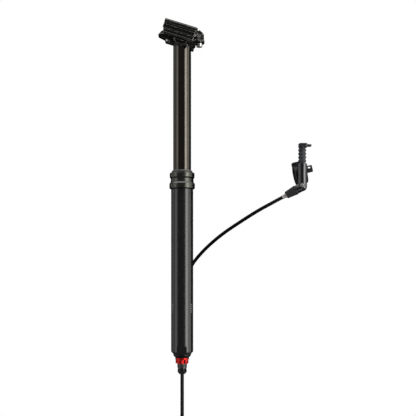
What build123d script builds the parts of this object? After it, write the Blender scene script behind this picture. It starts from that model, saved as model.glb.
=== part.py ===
from build123d import *

import math
import os

# A dropper seatpost for a bicycle, fully extended, with its plunger remote and hydraulic hose.
# Millimetres. +Z runs up the post, +X points to the front of the bicycle, +Y to its left side.
# The origin is on the post's axis at the collar's lower face, where the frame's clamp stops.

os.makedirs("parts", exist_ok=True)

# Clearances shared by the whole product: sliding fits, screwed or pressed seats, moving neighbours
run_gap = 0.05
bond_gap = 0.02
slack = 0.3
overrun = 5.0

# Lower tube
post_d = 30.9
tube_length = 230.0
tube_wall = 1.6
tube_end_d = 25.0
tube_end_h = 3.5
tube_base_h = 13.5
neck_d = 29.2
neck_h = 13.0
flat_depth = 1.6
flat_h = 11.6
guide_groove_depth = 0.65
guide_groove_spare = 3.0
guide_groove_top = 2.0

# Collar, wiper and upper bushing
collar_h = 23.1
collar_lip = 1.4
collar_band_d = 35.7
collar_band_top = 9.9
collar_bevel_w = 1.6
collar_bevel_h = 2.2
collar_waist_d = 31.9
collar_waist_low = 12.0
collar_waist_top = 14.8
collar_top_d = 34.7
collar_top_low = 16.8
collar_edge = 0.7
collar_pocket_d = 28.4
wiper_top = 26.6
wiper_d = 29.3
wiper_crest_d = 26.6
wiper_shoulder = 1.6
wiper_lip_h = 1.8
wiper_relief = 0.6
bushing_h = 14.0
bushing_flange_h = 1.6

# Stanchion and what its lower end carries
stanchion_d = 25.0
stanchion_wall = 1.6
stanchion_foot = 44.0
travel = 170.0
crown_gap = 1.4
crown_rise = 13.0
lower_bushing_h = 11.0
lower_bushing_gap = 2.6
bushing_slit = 1.2
key_count = 3
key_w = 3.0
key_h = 13.0
key_pocket = 0.8
seal_head_h = 14.0
seal_head_spigot_h = 3.0
snap_ring_h = 1.5
snap_ring_w = 2.4
snap_ring_bite = 0.6
snap_ring_mouth = 6.0
top_out_h = 2.4

# Hydraulic cartridge
shaft_d = 10.0
shaft_bore_d = 4.4
cartridge_bore_d = 17.0
cartridge_wall = 0.8
piston_h = 12.0
seal_wire_d = 1.8
seal_shares = (0.25, 0.75)
stem_seal_d = 1.2
floating_piston_gap = 3.6
floating_piston_h = 10.0
floating_floor_h = 4.0
poppet_rod_d = 3.2
poppet_head_d = 6.4
poppet_head_h = 2.4

# Foot of the post and the hose connector
foot_drop = 4.8
foot_round = 2.0
foot_taper = 0.5
foot_shaft_depth = 10.0
locknut_h = 2.0
locknut_flats = 15.0
bumper_h = 1.9
release_top_d = 19.2
release_body_d = 18.4
release_rim_h = 2.4
release_h = 8.0
release_web_h = 2.7
release_lobes = 5
release_lobe_d = 6.4
release_lobe_place_d = 21.4
release_travel = 2.0
stem_d = 9.8
stem_depth = 6.5
connector_d = 13.5
connector_low = 14.7
connector_groove_d = 11.0
connector_groove_h = 1.0
connector_spigot_d = 7.2
connector_spigot_h = 3.4
connector_bore_d = 2.8
hose_nut_flats = 11.0
hose_nut_h = 5.6
hose_nut_taper_h = 2.0
hose_nut_tip_d = 8.4
barb_d = 2.6
barb_length = 9.0

# Crown at the top of the stanchion, with its heights above or below the clamp's axis
clamp_slope = 17.0
crown_half_w = 13.0
crown_spigot_h = 14.0
crown_recess_h = 2.0
crown_bore_d = 8.0
crown_neck_lap = 4.0
seat_r = 12.3
rear_arm_root_drop = 6.6
rear_arm_reach = 33.2
rear_arm_tip_rise = 3.8
rear_arm_top_reach = 27.4
rear_arm_inner_rise = 2.6
rear_arm_tilt_room = 5.0
rear_arm_taper_start = 24.0
rear_arm_tip_half_w = 8.0
front_arm_knee = 18.0
front_arm_knee_drop = 10.8
front_ear_start = 18.8
front_ear_low_drop = 5.8
front_ear_top_drop = 3.5
front_ear_back = 20.5
front_arm_reach = 31.4
front_arm_inner_drop = 2.0
front_arm_taper_start = 23.0
front_arm_tip_half_w = 7.5
ear_nose = 1.1
arm_edge = 0.7
keel_w = 5.5
keel_h = 4.5
flank_pocket_x = -19.0
flank_pocket_rise = 2.0
flank_pocket_l = 10.0
flank_pocket_w = 4.0
flank_pocket_slope = -24.0
flank_pocket_depth = 4.0

# Rail clamp, placed along the rails (u), across the bicycle (v) and square to both (w)
rail_d = 7.0
rail_half_spacing = 22.0
clamp_half_w = 27.0
clamp_split = 0.6
cradle_boss_r = 12.0
cradle_boss_half_w = 15.6
cradle_rear = 25.0
cradle_front = 17.5
cradle_low = 6.4
cradle_wing_in = 14.6
cradle_wing_edge = 1.6
clamp_top_w = 13.8
clamp_arch_w = 5.0
clamp_lip_in = 16.8
clamp_arch_in = 14.4
clamp_rear = 27.0
clamp_front = 17.5
clamp_shoulder = 2.2
channel_low = 5.6
channel_h = 2.8
channel_depth = 2.2
beam_half_w = 9.3
beam_rear = 27.8
beam_rear_low = 25.0
beam_front = 28.6
beam_front_low_w = 7.5
beam_chin = 24.0
beam_nose = 2.4
web_low_w = 10.6
web_back = 2.0
top_pocket_l = 13.0
top_pocket_w = 8.4
top_pocket_depth = 2.6
top_pocket_u = 13.2
top_pocket_v = 17.0
top_pocket_r = 2.0

# Clamp bolts and their barrel nuts
nut_d = 7.0
nut_w = 9.2
front_nut_u = 22.3
rear_nut_u = -22.8
nut_end_gap = 0.6
bolt_d = 4.8
bolt_head_d = 8.4
bolt_head_h = 5.0
bolt_socket_flats = 4.0
bolt_socket_depth = 2.6
bolt_stick_out = 4.2
bolt_slot_l = 8.2
washer_dome_r = 5.5
washer_d = 8.8
front_bolt_pivot_drop = 9.2
rear_bolt_pivot_drop = 1.8
ear_hole_d = 7.4
counterbore_d = 10.4

# Air valve inside the crown
valve_d = 5.2
valve_rise = 3.0
valve_length = 7.0
valve_cap_d = 7.4
valve_cap_h = 4.0

# Remote
remote_x = 168.1
elbow_z = 4.1
barrel_slope = 28.5
body_d = 13.4
body_waist_d = 13.0
body_top_z = 36.4
body_rim_h = 1.6
body_bore_d = 9.2
body_bore_floor = 7.0
oil_hole_d = 2.4
arm_length = 8.6
arm_d = 12.4
guide_bush_h = 4.0
master_piston_h = 6.0
master_piston_z = 24.6
master_seal_d = 1.2
plunger_d = 4.4
plunger_travel = 9.0
spring_wire_d = 0.8
spring_d = 6.6
spring_turns = 6
boot_valley_d = 8.9
boot_bulge_d = 11.7
boot_wall = 0.7
boot_folds = 4
boot_low_cuff_h = 1.1
boot_top_cuff_h = 1.5
paddle_z = 58.9
paddle_h = 5.7
paddle_w = 11.8
paddle_depth = 12.6
paddle_shift = 0.9
paddle_round = 2.6
paddle_edge = 0.8
paddle_tab_reach = 12.8
paddle_tab_w = 9.0
paddle_tab_low = 1.4
paddle_tab_h = 2.6
paddle_dish_r = 22.0
paddle_dish_depth = 0.9
bleed_x = -1.25
bleed_z = 1.0
bleed_boss_d = 6.8
bleed_boss_out = 7.4
bleed_head_d = 5.0
bleed_head_h = 1.6
bleed_sink = 0.8
bleed_thread_d = 3.0
bleed_depth = 3.4
bleed_socket_flats = 2.0
adjuster_gap = 1.0
adjuster_length = 15.7
adjuster_top_d = 13.6
adjuster_tip_d = 10.4
adjuster_flutes = 12
adjuster_flute_d = 2.2
adjuster_flute_sink = 0.75
adjuster_collar_h = 2.2
adjuster_stem_d = 7.0
ferrule_d = 5.4
ferrule_length = 6.6
ferrule_collar_d = 6.4
ferrule_collar_h = 1.6

# Handlebar clamp of the remote
bar_d = 22.2
bar_clamp_wall = 2.6
bar_clamp_w = 17.2
bar_clamp_slope = 12.8
bar_clamp_z = 23.5
bar_clamp_stand = 1.6
bar_clamp_edge = 0.6
bar_ear_top = 18.4
bar_ear_half = 4.6
bar_split = 2.0
bar_saddle_w = 10.6
bar_saddle_h = 20.0
bar_saddle_wrap = 4.4
bar_screw_d = 4.0
bar_screw_head_d = 6.4
bar_screw_head_h = 3.6
bar_screw_drop = 2.6
tab_start = 2.0
tab_reach = 16.7
tab_low = -1.3
tab_top = 8.7
tab_thick = 2.4
tab_corner = 1.3
tab_slot_u = 12.4
tab_slot_rise = 5.7
tab_slot_l = 3.8
tab_slot_w = 2.2

# Hose
hose_d = 5.0
coil_z = -372.0
coil_r = 39.5
coil_step = 5.5
coil_half_turns = 15
tie_wall = 1.0
tie_w = 4.0
tie_gap = 0.6
hose_fillet_share = 0.45
coil_samples = 1500
upper_lead_up = 12.0
upper_lead_in = 45.0
upper_route = [
    (-3.0, 83.0, -333.0),
    (-2.4, 66.0, -298.0),
    (-1.3, 36.0, -243.0),
    (-0.8, 22.5, -182.0),
    (0.5, 22.5, -120.0),
    (40.0, 16.6, -72.5),
]

# Worked out from the sizes above
crown_seat = wiper_top + crown_gap + travel
rail_z = crown_seat + crown_rise
post_r = post_d / 2
tube_bore_r = post_r - tube_wall
tube_base_r = tube_end_d / 2 - tube_wall
tube_base_top = -tube_length + tube_base_h
neck_r = neck_d / 2
foot_z = -tube_length - foot_drop
stanchion_r = stanchion_d / 2
stanchion_bore_r = stanchion_r - stanchion_wall
key_low = -stanchion_foot + lower_bushing_h + lower_bushing_gap
snap_ring_low = -stanchion_foot + slack
seal_head_low = snap_ring_low + snap_ring_h
seal_head_top = seal_head_low + seal_head_h
spigot_top = seal_head_top + seal_head_spigot_h
crown_spigot_low = crown_seat - crown_spigot_h
valve_z = crown_spigot_low + valve_rise
shaft_r = shaft_d / 2
shaft_low = tube_base_top - foot_shaft_depth
cartridge_r = cartridge_bore_d / 2
piston_r = cartridge_r - run_gap
piston_low = spigot_top + top_out_h + slack
piston_top = piston_low + piston_h
oil_column = travel * (1 - (shaft_d / cartridge_bore_d) ** 2)
floating_piston_z = piston_top + slack + poppet_head_h + oil_column + floating_piston_gap
stem_top = foot_z + stem_depth
release_top = foot_z - slack
connector_top = release_top - release_web_h - release_travel - slack
connector_bottom = foot_z - connector_low
nut_top_z = connector_bottom - connector_groove_h
nut_low_z = nut_top_z - hose_nut_h - hose_nut_taper_h
body_r = body_d / 2
boot_low = body_top_z
boot_pitch = (paddle_z - boot_low - boot_low_cuff_h - boot_top_cuff_h) / boot_folds
hose_r = hose_d / 2

# Directions and planes of the sloping rail clamp: from the side, from behind and from above
slope_cos = math.cos(math.radians(clamp_slope))
slope_sin = math.sin(math.radians(clamp_slope))
front_bolt_pivot_z = rail_z - front_bolt_pivot_drop
rear_bolt_pivot_z = rail_z - rear_bolt_pivot_drop
clamp_under_z = rail_z + (clamp_arch_w + rear_arm_top_reach * slope_sin) / slope_cos
rear_arm_top_z = clamp_under_z - rear_arm_tilt_room
clamp_u = (slope_cos, 0, -slope_sin)
clamp_up = (slope_sin, 0, slope_cos)
clamp_side = Plane(origin=(0, 0, rail_z), x_dir=clamp_u, z_dir=(0, -1, 0))
clamp_section = Plane(origin=(0, 0, rail_z), x_dir=(0, 1, 0), z_dir=clamp_u)
clamp_plan = Plane(origin=(0, 0, rail_z), x_dir=clamp_u, z_dir=clamp_up)

# Planes and axes of the remote: its upright body and its sloping barrel
barrel_cos = math.cos(math.radians(barrel_slope))
barrel_sin = math.sin(math.radians(barrel_slope))
elbow = Vector(remote_x, 0, elbow_z)
barrel_way = Vector(-barrel_cos, 0, -barrel_sin)
remote_side = Plane(origin=(remote_x, 0, 0), x_dir=(1, 0, 0), z_dir=(0, -1, 0))
remote_axis = Axis((remote_x, 0, 0), (0, 0, 1))
barrel_side = Plane(origin=elbow, x_dir=barrel_way, z_dir=(0, -1, 0))
barrel_axis = Axis(elbow, barrel_way)
bar_cos = math.cos(math.radians(bar_clamp_slope))
bar_sin = math.sin(math.radians(bar_clamp_slope))
bar_y = body_r + bar_clamp_stand + bar_clamp_wall + bar_d / 2
bar_plane = Plane(origin=(remote_x, bar_y, bar_clamp_z), x_dir=(0, 1, 0), z_dir=(bar_cos, 0, bar_sin))


def save(piece, label):
    """Labels a finished piece and writes it as its own file."""
    piece.label = label
    export_step(piece, f"parts/{label}.step")


def clamp_point(u, w):
    """The place in the side view of a point of the sloping rail clamp, as (x, z)."""
    return u * slope_cos + w * slope_sin, rail_z - u * slope_sin + w * slope_cos


def remote_level(z):
    """A level plane on the remote's upright axis."""
    return Plane(origin=(remote_x, 0, z))


def barrel_level(distance):
    """A plane square to the remote's barrel, at a distance from the elbow."""
    return Plane(origin=elbow + barrel_way * distance, x_dir=(0, 1, 0), z_dir=barrel_way)


def ring(low, high, inner_r, outer_r):
    """A plain ring about the post's axis, from one height to another."""
    with BuildPart() as body:
        with BuildSketch(Plane.XY.offset(low)):
            Circle(outer_r)
            Circle(inner_r, mode=Mode.SUBTRACT)
        extrude(amount=high - low)
    return body.part


def turned(points, plane=Plane.XZ, axis=Axis.Z):
    """A solid turned about an axis from the corners of its half section."""
    with BuildPart() as body:
        with BuildSketch(plane):
            with BuildLine():
                Polyline(*points, close=True)
            make_face()
        revolve(axis=axis)
    return body.part


def seal_rings(plane, axis, places, centre_r, wire_d):
    """Round-section seals about an axis, one at each place along it."""
    with BuildPart() as body:
        for place in places:
            with BuildSketch(plane):
                with Locations((centre_r, place)):
                    Circle(wire_d / 2)
            revolve(axis=axis)
    return body.part


# Lower tube: butted at its base for the wrench flats, with a thinner neck for the collar's thread.
with BuildPart() as lower_tube:
    with BuildSketch(Plane.XZ):
        with BuildLine():
            Polyline(
                (tube_end_d / 2, -tube_length),
                (post_r, -tube_length + tube_end_h),
                (post_r, 0),
                (neck_r, 0),
                (neck_r, neck_h),
                (tube_bore_r, neck_h),
                (tube_bore_r, tube_base_top),
                (tube_base_r, tube_base_top),
                (tube_base_r, -tube_length),
                close=True,
            )
        make_face()
    revolve(axis=Axis.Z)
    groove_low = key_low - travel - guide_groove_spare
    with BuildSketch(Plane.XY.offset(groove_low)):
        with PolarLocations(tube_bore_r, key_count, start_angle=90):
            Rectangle(2 * guide_groove_depth, key_w + 4 * run_gap)
    extrude(amount=-guide_groove_top - groove_low, mode=Mode.SUBTRACT)
    with BuildSketch(Plane.XY.offset(-tube_length)):
        with PolarLocations(post_r - flat_depth + overrun, 2, start_angle=90):
            Rectangle(2 * overrun, post_d)
    extrude(amount=flat_h, mode=Mode.SUBTRACT)
save(lower_tube.part, "lower_tube")

# Collar: two bands about a waist, screwed on the tube's neck and holding the wiper's foot.
with BuildPart() as collar:
    with BuildSketch(Plane.XZ):
        with BuildLine():
            Polyline(
                (neck_r + bond_gap, 0),
                (post_r + bond_gap, 0),
                (collar_band_d / 2, collar_lip),
                (collar_band_d / 2, collar_band_top - collar_bevel_h),
                (collar_band_d / 2 - collar_bevel_w, collar_band_top),
                (collar_waist_d / 2, collar_waist_low),
                (collar_waist_d / 2, collar_waist_top),
                (collar_top_d / 2, collar_top_low),
                (collar_top_d / 2, collar_h - collar_edge),
                (collar_top_d / 2 - collar_edge, collar_h),
                (collar_pocket_d / 2, collar_h),
                (collar_pocket_d / 2, neck_h + bushing_flange_h),
                (neck_r + bond_gap, neck_h + bushing_flange_h),
                close=True,
            )
        make_face()
    revolve(axis=Axis.Z)
save(collar.part, "collar")

# Upper bushing: a flanged sleeve inside the tube's neck that guides the stanchion.
upper_bushing = turned([
    (stanchion_r + run_gap, neck_h - bushing_h),
    (tube_bore_r - bond_gap, neck_h - bushing_h),
    (tube_bore_r - bond_gap, neck_h),
    (neck_r - bond_gap, neck_h),
    (neck_r - bond_gap, neck_h + bushing_flange_h - bond_gap),
    (stanchion_r + run_gap, neck_h + bushing_flange_h - bond_gap),
])
save(upper_bushing, "upper_bushing")

# Wiper seal: a foot in the collar, two lips on the stanchion and a domed dust ring on top.
wiper_in = stanchion_r + run_gap
wiper_foot = neck_h + bushing_flange_h + bond_gap
wiper_seal = turned([
    (wiper_in, wiper_foot),
    (collar_pocket_d / 2 - bond_gap, wiper_foot),
    (collar_pocket_d / 2 - bond_gap, collar_h),
    (wiper_d / 2, collar_h),
    (wiper_d / 2, wiper_top - wiper_shoulder),
    (wiper_crest_d / 2 + wiper_shoulder / 3, wiper_top - wiper_shoulder / 4),
    (wiper_crest_d / 2, wiper_top),
    (wiper_in + wiper_shoulder / 4, wiper_top),
    (wiper_in, wiper_top - wiper_shoulder / 4),
    (wiper_in, wiper_top - wiper_lip_h),
    (wiper_in + wiper_relief, wiper_top - wiper_lip_h - wiper_relief),
    (wiper_in + wiper_relief, wiper_foot + wiper_lip_h + wiper_relief),
    (wiper_in, wiper_foot + wiper_lip_h),
])
save(wiper_seal, "wiper_seal")

# Stanchion: a straight tube with a snap-ring groove and three shallow key pockets at its foot.
with BuildPart() as stanchion:
    with BuildSketch(Plane.XY.offset(-stanchion_foot)):
        Circle(stanchion_r)
        Circle(stanchion_bore_r, mode=Mode.SUBTRACT)
    extrude(amount=stanchion_foot + crown_seat)
    with BuildSketch(Plane.XY.offset(snap_ring_low - bond_gap)):
        Circle(stanchion_bore_r + snap_ring_bite + bond_gap)
        Circle(stanchion_bore_r - run_gap, mode=Mode.SUBTRACT)
    extrude(amount=snap_ring_h + 2 * bond_gap, mode=Mode.SUBTRACT)
    with BuildSketch(Plane.XY.offset(key_low - bond_gap)):
        with PolarLocations(stanchion_r, key_count, start_angle=90):
            Rectangle(2 * key_pocket, key_w + 2 * bond_gap)
    extrude(amount=key_h + 2 * bond_gap, mode=Mode.SUBTRACT)
save(stanchion.part, "stanchion")

# Guide keys: brass bars in the stanchion's pockets that run in the tube's grooves and stop it turning.
with BuildPart() as guide_keys:
    key_in = stanchion_r - key_pocket + bond_gap
    key_out = tube_bore_r + guide_groove_depth - 2 * run_gap
    with BuildSketch(Plane.XY.offset(key_low)):
        with PolarLocations((key_in + key_out) / 2, key_count, start_angle=90):
            Rectangle(key_out - key_in, key_w)
    extrude(amount=key_h)
save(guide_keys.part, "guide_keys")

# Lower bushing: a slit sleeve round the stanchion's foot that runs in the tube.
with BuildPart() as lower_bushing:
    with BuildSketch(Plane.XY.offset(-stanchion_foot)):
        Circle(tube_bore_r - run_gap)
        Circle(stanchion_r + bond_gap, mode=Mode.SUBTRACT)
        with Locations((-tube_bore_r, 0)):
            Rectangle(2 * stanchion_wall + tube_wall, bushing_slit, mode=Mode.SUBTRACT)
    extrude(amount=lower_bushing_h)
save(lower_bushing.part, "lower_bushing")

# Seal head: closes the stanchion's foot round the shaft and centres the cartridge tube on its spigot.
shaft_seal_z = (seal_head_low + seal_head_top) / 2
shaft_seal_r = shaft_r + run_gap + seal_wire_d / 2
with BuildPart() as seal_head:
    add(turned([
        (shaft_r + run_gap, seal_head_low),
        (stanchion_bore_r - bond_gap, seal_head_low),
        (stanchion_bore_r - bond_gap, seal_head_top),
        (cartridge_r - bond_gap, seal_head_top),
        (cartridge_r - bond_gap, spigot_top),
        (shaft_r + run_gap, spigot_top),
    ]))
    with BuildSketch(Plane.XY.offset(shaft_seal_z - seal_wire_d / 2 - run_gap)):
        Circle(shaft_seal_r + seal_wire_d / 2 + run_gap)
    extrude(amount=seal_wire_d + 2 * run_gap, mode=Mode.SUBTRACT)
save(seal_head.part, "seal_head")
save(seal_rings(Plane.XZ, Axis.Z, [shaft_seal_z], shaft_seal_r, seal_wire_d), "shaft_seal")

# Retaining ring: an open snap ring that holds the seal head in the stanchion.
with BuildPart() as retaining_ring:
    ring_out = stanchion_bore_r + snap_ring_bite
    with BuildSketch(Plane.XY.offset(snap_ring_low)):
        Circle(ring_out)
        Circle(ring_out - snap_ring_w, mode=Mode.SUBTRACT)
        with Locations((0, -ring_out)):
            Rectangle(snap_ring_mouth, 3 * snap_ring_w, mode=Mode.SUBTRACT)
    extrude(amount=snap_ring_h)
save(retaining_ring.part, "retaining_ring")

# Cartridge tube: holds the oil above the main piston and the gas above the floating piston.
cartridge_top = crown_spigot_low + crown_recess_h - bond_gap
save(ring(seal_head_top, cartridge_top, cartridge_r, cartridge_r + cartridge_wall), "cartridge_tube")
save(ring(spigot_top, spigot_top + top_out_h, shaft_r + slack, piston_r - slack), "top_out_bumper")

# Cartridge shaft: a hollow rod fixed in the foot, with the main piston on its upper end.
shaft_top = piston_low + piston_h / 2
save(ring(shaft_low, shaft_top, shaft_bore_d / 2, shaft_r), "cartridge_shaft")

piston_groove_r = piston_r - seal_wire_d - run_gap
piston_seal_z = [piston_low + piston_h * share for share in seal_shares]
with BuildPart() as main_piston:
    add(turned([
        (shaft_r + bond_gap, piston_low),
        (piston_r, piston_low),
        (piston_r, piston_top),
        (shaft_bore_d / 2, piston_top),
        (shaft_bore_d / 2, shaft_top + bond_gap),
        (shaft_r + bond_gap, shaft_top + bond_gap),
    ]))
    for height in piston_seal_z:
        with BuildSketch(Plane.XY.offset(height - seal_wire_d / 2 - run_gap)):
            Circle(piston_r + overrun)
            Circle(piston_groove_r, mode=Mode.SUBTRACT)
        extrude(amount=seal_wire_d + 2 * run_gap, mode=Mode.SUBTRACT)
save(main_piston.part, "main_piston")
seal_centre_r = piston_r - seal_wire_d / 2
save(seal_rings(Plane.XZ, Axis.Z, piston_seal_z, seal_centre_r, seal_wire_d), "main_piston_seals")

# Poppet valve: a rod through the shaft that lifts its head off the main piston to let the oil past.
poppet_low = stem_top + slack
poppet_head_z = piston_top + slack
poppet_valve = turned([
    (0, poppet_low),
    (poppet_rod_d / 2, poppet_low),
    (poppet_rod_d / 2, poppet_head_z),
    (poppet_head_d / 2, poppet_head_z),
    (poppet_head_d / 2, poppet_head_z + poppet_head_h / 2),
    (poppet_rod_d / 2, poppet_head_z + poppet_head_h),
    (0, poppet_head_z + poppet_head_h),
])
save(poppet_valve, "poppet_valve")

# Floating piston: a cup that keeps gas and oil apart, with one seal.
floating_seal_z = floating_piston_z + floating_floor_h
with BuildPart() as floating_piston:
    add(turned([
        (0, floating_piston_z),
        (piston_r, floating_piston_z),
        (piston_r, floating_piston_z + floating_piston_h),
        (piston_groove_r - tube_wall, floating_piston_z + floating_piston_h),
        (piston_groove_r - tube_wall, floating_piston_z + floating_floor_h),
        (0, floating_piston_z + floating_floor_h),
    ]))
    with BuildSketch(Plane.XY.offset(floating_seal_z - seal_wire_d / 2 - run_gap)):
        Circle(piston_r + overrun)
        Circle(piston_groove_r, mode=Mode.SUBTRACT)
    extrude(amount=seal_wire_d + 2 * run_gap, mode=Mode.SUBTRACT)
save(floating_piston.part, "floating_piston")
save(seal_rings(Plane.XZ, Axis.Z, [floating_seal_z], seal_centre_r, seal_wire_d), "floating_piston_seal")

# Foot cap: screwed into the tube's base, with the shaft in its top and the connector in its bottom.
with BuildPart() as foot_cap:
    add(turned([
        (shaft_r + bond_gap, tube_base_top),
        (tube_base_r - bond_gap, tube_base_top),
        (tube_base_r - bond_gap, -tube_length),
        (tube_end_d / 2, -tube_length),
        (tube_end_d / 2 - foot_taper, foot_z + foot_round),
        (tube_end_d / 2 - foot_taper - foot_round, foot_z),
        (stem_d / 2 + bond_gap, foot_z),
        (stem_d / 2 + bond_gap, stem_top),
        (shaft_bore_d / 2, stem_top),
        (shaft_bore_d / 2, shaft_low - bond_gap),
        (shaft_r + bond_gap, shaft_low - bond_gap),
    ]))
save(foot_cap.part, "foot_cap")
save(ring(tube_base_top, tube_base_top + bumper_h, tube_base_r, tube_bore_r - slack), "bottom_bumper")

# Lock nut: a thin hexagon that locks the shaft on the foot cap.
with BuildPart() as shaft_locknut:
    with BuildSketch(Plane.XY.offset(tube_base_top)):
        RegularPolygon(locknut_flats / 2, 6, major_radius=False)
        Circle(shaft_r + bond_gap, mode=Mode.SUBTRACT)
    extrude(amount=locknut_h)
save(shaft_locknut.part, "shaft_locknut")

# Hose connector: a sealed stem into the foot cap, a body and a spigot for the hose nut.
stem_seal_z = (foot_z + stem_top) / 2
stem_seal_r = stem_d / 2 - stem_seal_d / 2
with BuildPart() as connector_body:
    add(turned([
        (connector_bore_d / 2, stem_top - bond_gap),
        (stem_d / 2, stem_top - bond_gap),
        (stem_d / 2, connector_top),
        (connector_d / 2, connector_top),
        (connector_d / 2, connector_bottom),
        (connector_groove_d / 2, connector_bottom),
        (connector_groove_d / 2, nut_top_z),
        (connector_spigot_d / 2, nut_top_z),
        (connector_spigot_d / 2, nut_top_z - connector_spigot_h),
        (connector_bore_d / 2, nut_top_z - connector_spigot_h),
    ]))
    with BuildSketch(Plane.XY.offset(stem_seal_z - stem_seal_d / 2 - run_gap)):
        Circle(stem_d)
        Circle(stem_seal_r - stem_seal_d / 2 - run_gap, mode=Mode.SUBTRACT)
    extrude(amount=stem_seal_d + 2 * run_gap, mode=Mode.SUBTRACT)
save(connector_body.part, "connector_body")
save(seal_rings(Plane.XZ, Axis.Z, [stem_seal_z], stem_seal_r, stem_seal_d), "stem_seal")

# Release ring: slides down the stem over the connector to free it, with finger scallops round it.
release_low = release_top - release_h
with BuildPart() as release_ring:
    add(turned([
        (stem_d / 2 + run_gap, release_top),
        (release_top_d / 2, release_top),
        (release_top_d / 2, release_top - release_rim_h),
        (release_body_d / 2, release_top - release_rim_h - collar_edge),
        (release_body_d / 2, release_low),
        (connector_d / 2 + run_gap, release_low),
        (connector_d / 2 + run_gap, release_top - release_web_h),
        (stem_d / 2 + run_gap, release_top - release_web_h),
    ]))
    with BuildSketch(Plane.XY.offset(release_low)):
        with PolarLocations(release_lobe_place_d / 2, release_lobes):
            Circle(release_lobe_d / 2)
    extrude(amount=release_h - release_rim_h, mode=Mode.SUBTRACT)
save(release_ring.part, "release_ring")

# Hose nut and the barb inside it.
with BuildPart() as hose_nut:
    with BuildSketch(Plane.XY.offset(nut_top_z)):
        RegularPolygon(hose_nut_flats / 2, 6, major_radius=False)
    extrude(amount=-hose_nut_h)
    with BuildSketch(Plane.XY.offset(nut_top_z - hose_nut_h)):
        Circle(hose_nut_flats / 2)
    with BuildSketch(Plane.XY.offset(nut_low_z)):
        Circle(hose_nut_tip_d / 2)
    loft()
    with BuildSketch(Plane.XY.offset(nut_top_z)):
        Circle(connector_spigot_d / 2 + bond_gap)
    extrude(amount=-connector_spigot_h - bond_gap, mode=Mode.SUBTRACT)
    with BuildSketch(Plane.XY.offset(nut_top_z)):
        Circle(barb_d / 2 + bond_gap)
    extrude(amount=-hose_nut_h - hose_nut_taper_h, mode=Mode.SUBTRACT)
save(hose_nut.part, "hose_nut")
save(ring(nut_low_z + bond_gap, nut_low_z + barb_length, barb_d / 4, barb_d / 2), "hose_barb")

# Barrel nuts and bolt pivots in the side view.
front_nut_x, front_nut_z = clamp_point(front_nut_u, nut_w)
rear_nut_x, rear_nut_z = clamp_point(rear_nut_u, nut_w)

# Domed seat for a bolt's washer, the room that the washer swivels in.
with BuildPart() as washer_room:
    Sphere(washer_dome_r + slack)
    Cylinder(counterbore_d / 2, 2 * (washer_dome_r + slack), mode=Mode.INTERSECT)
front_washer_room = Pos(front_nut_x, 0, front_bolt_pivot_z) * washer_room.part
rear_washer_room = Pos(rear_nut_x, 0, rear_bolt_pivot_z) * washer_room.part

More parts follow.
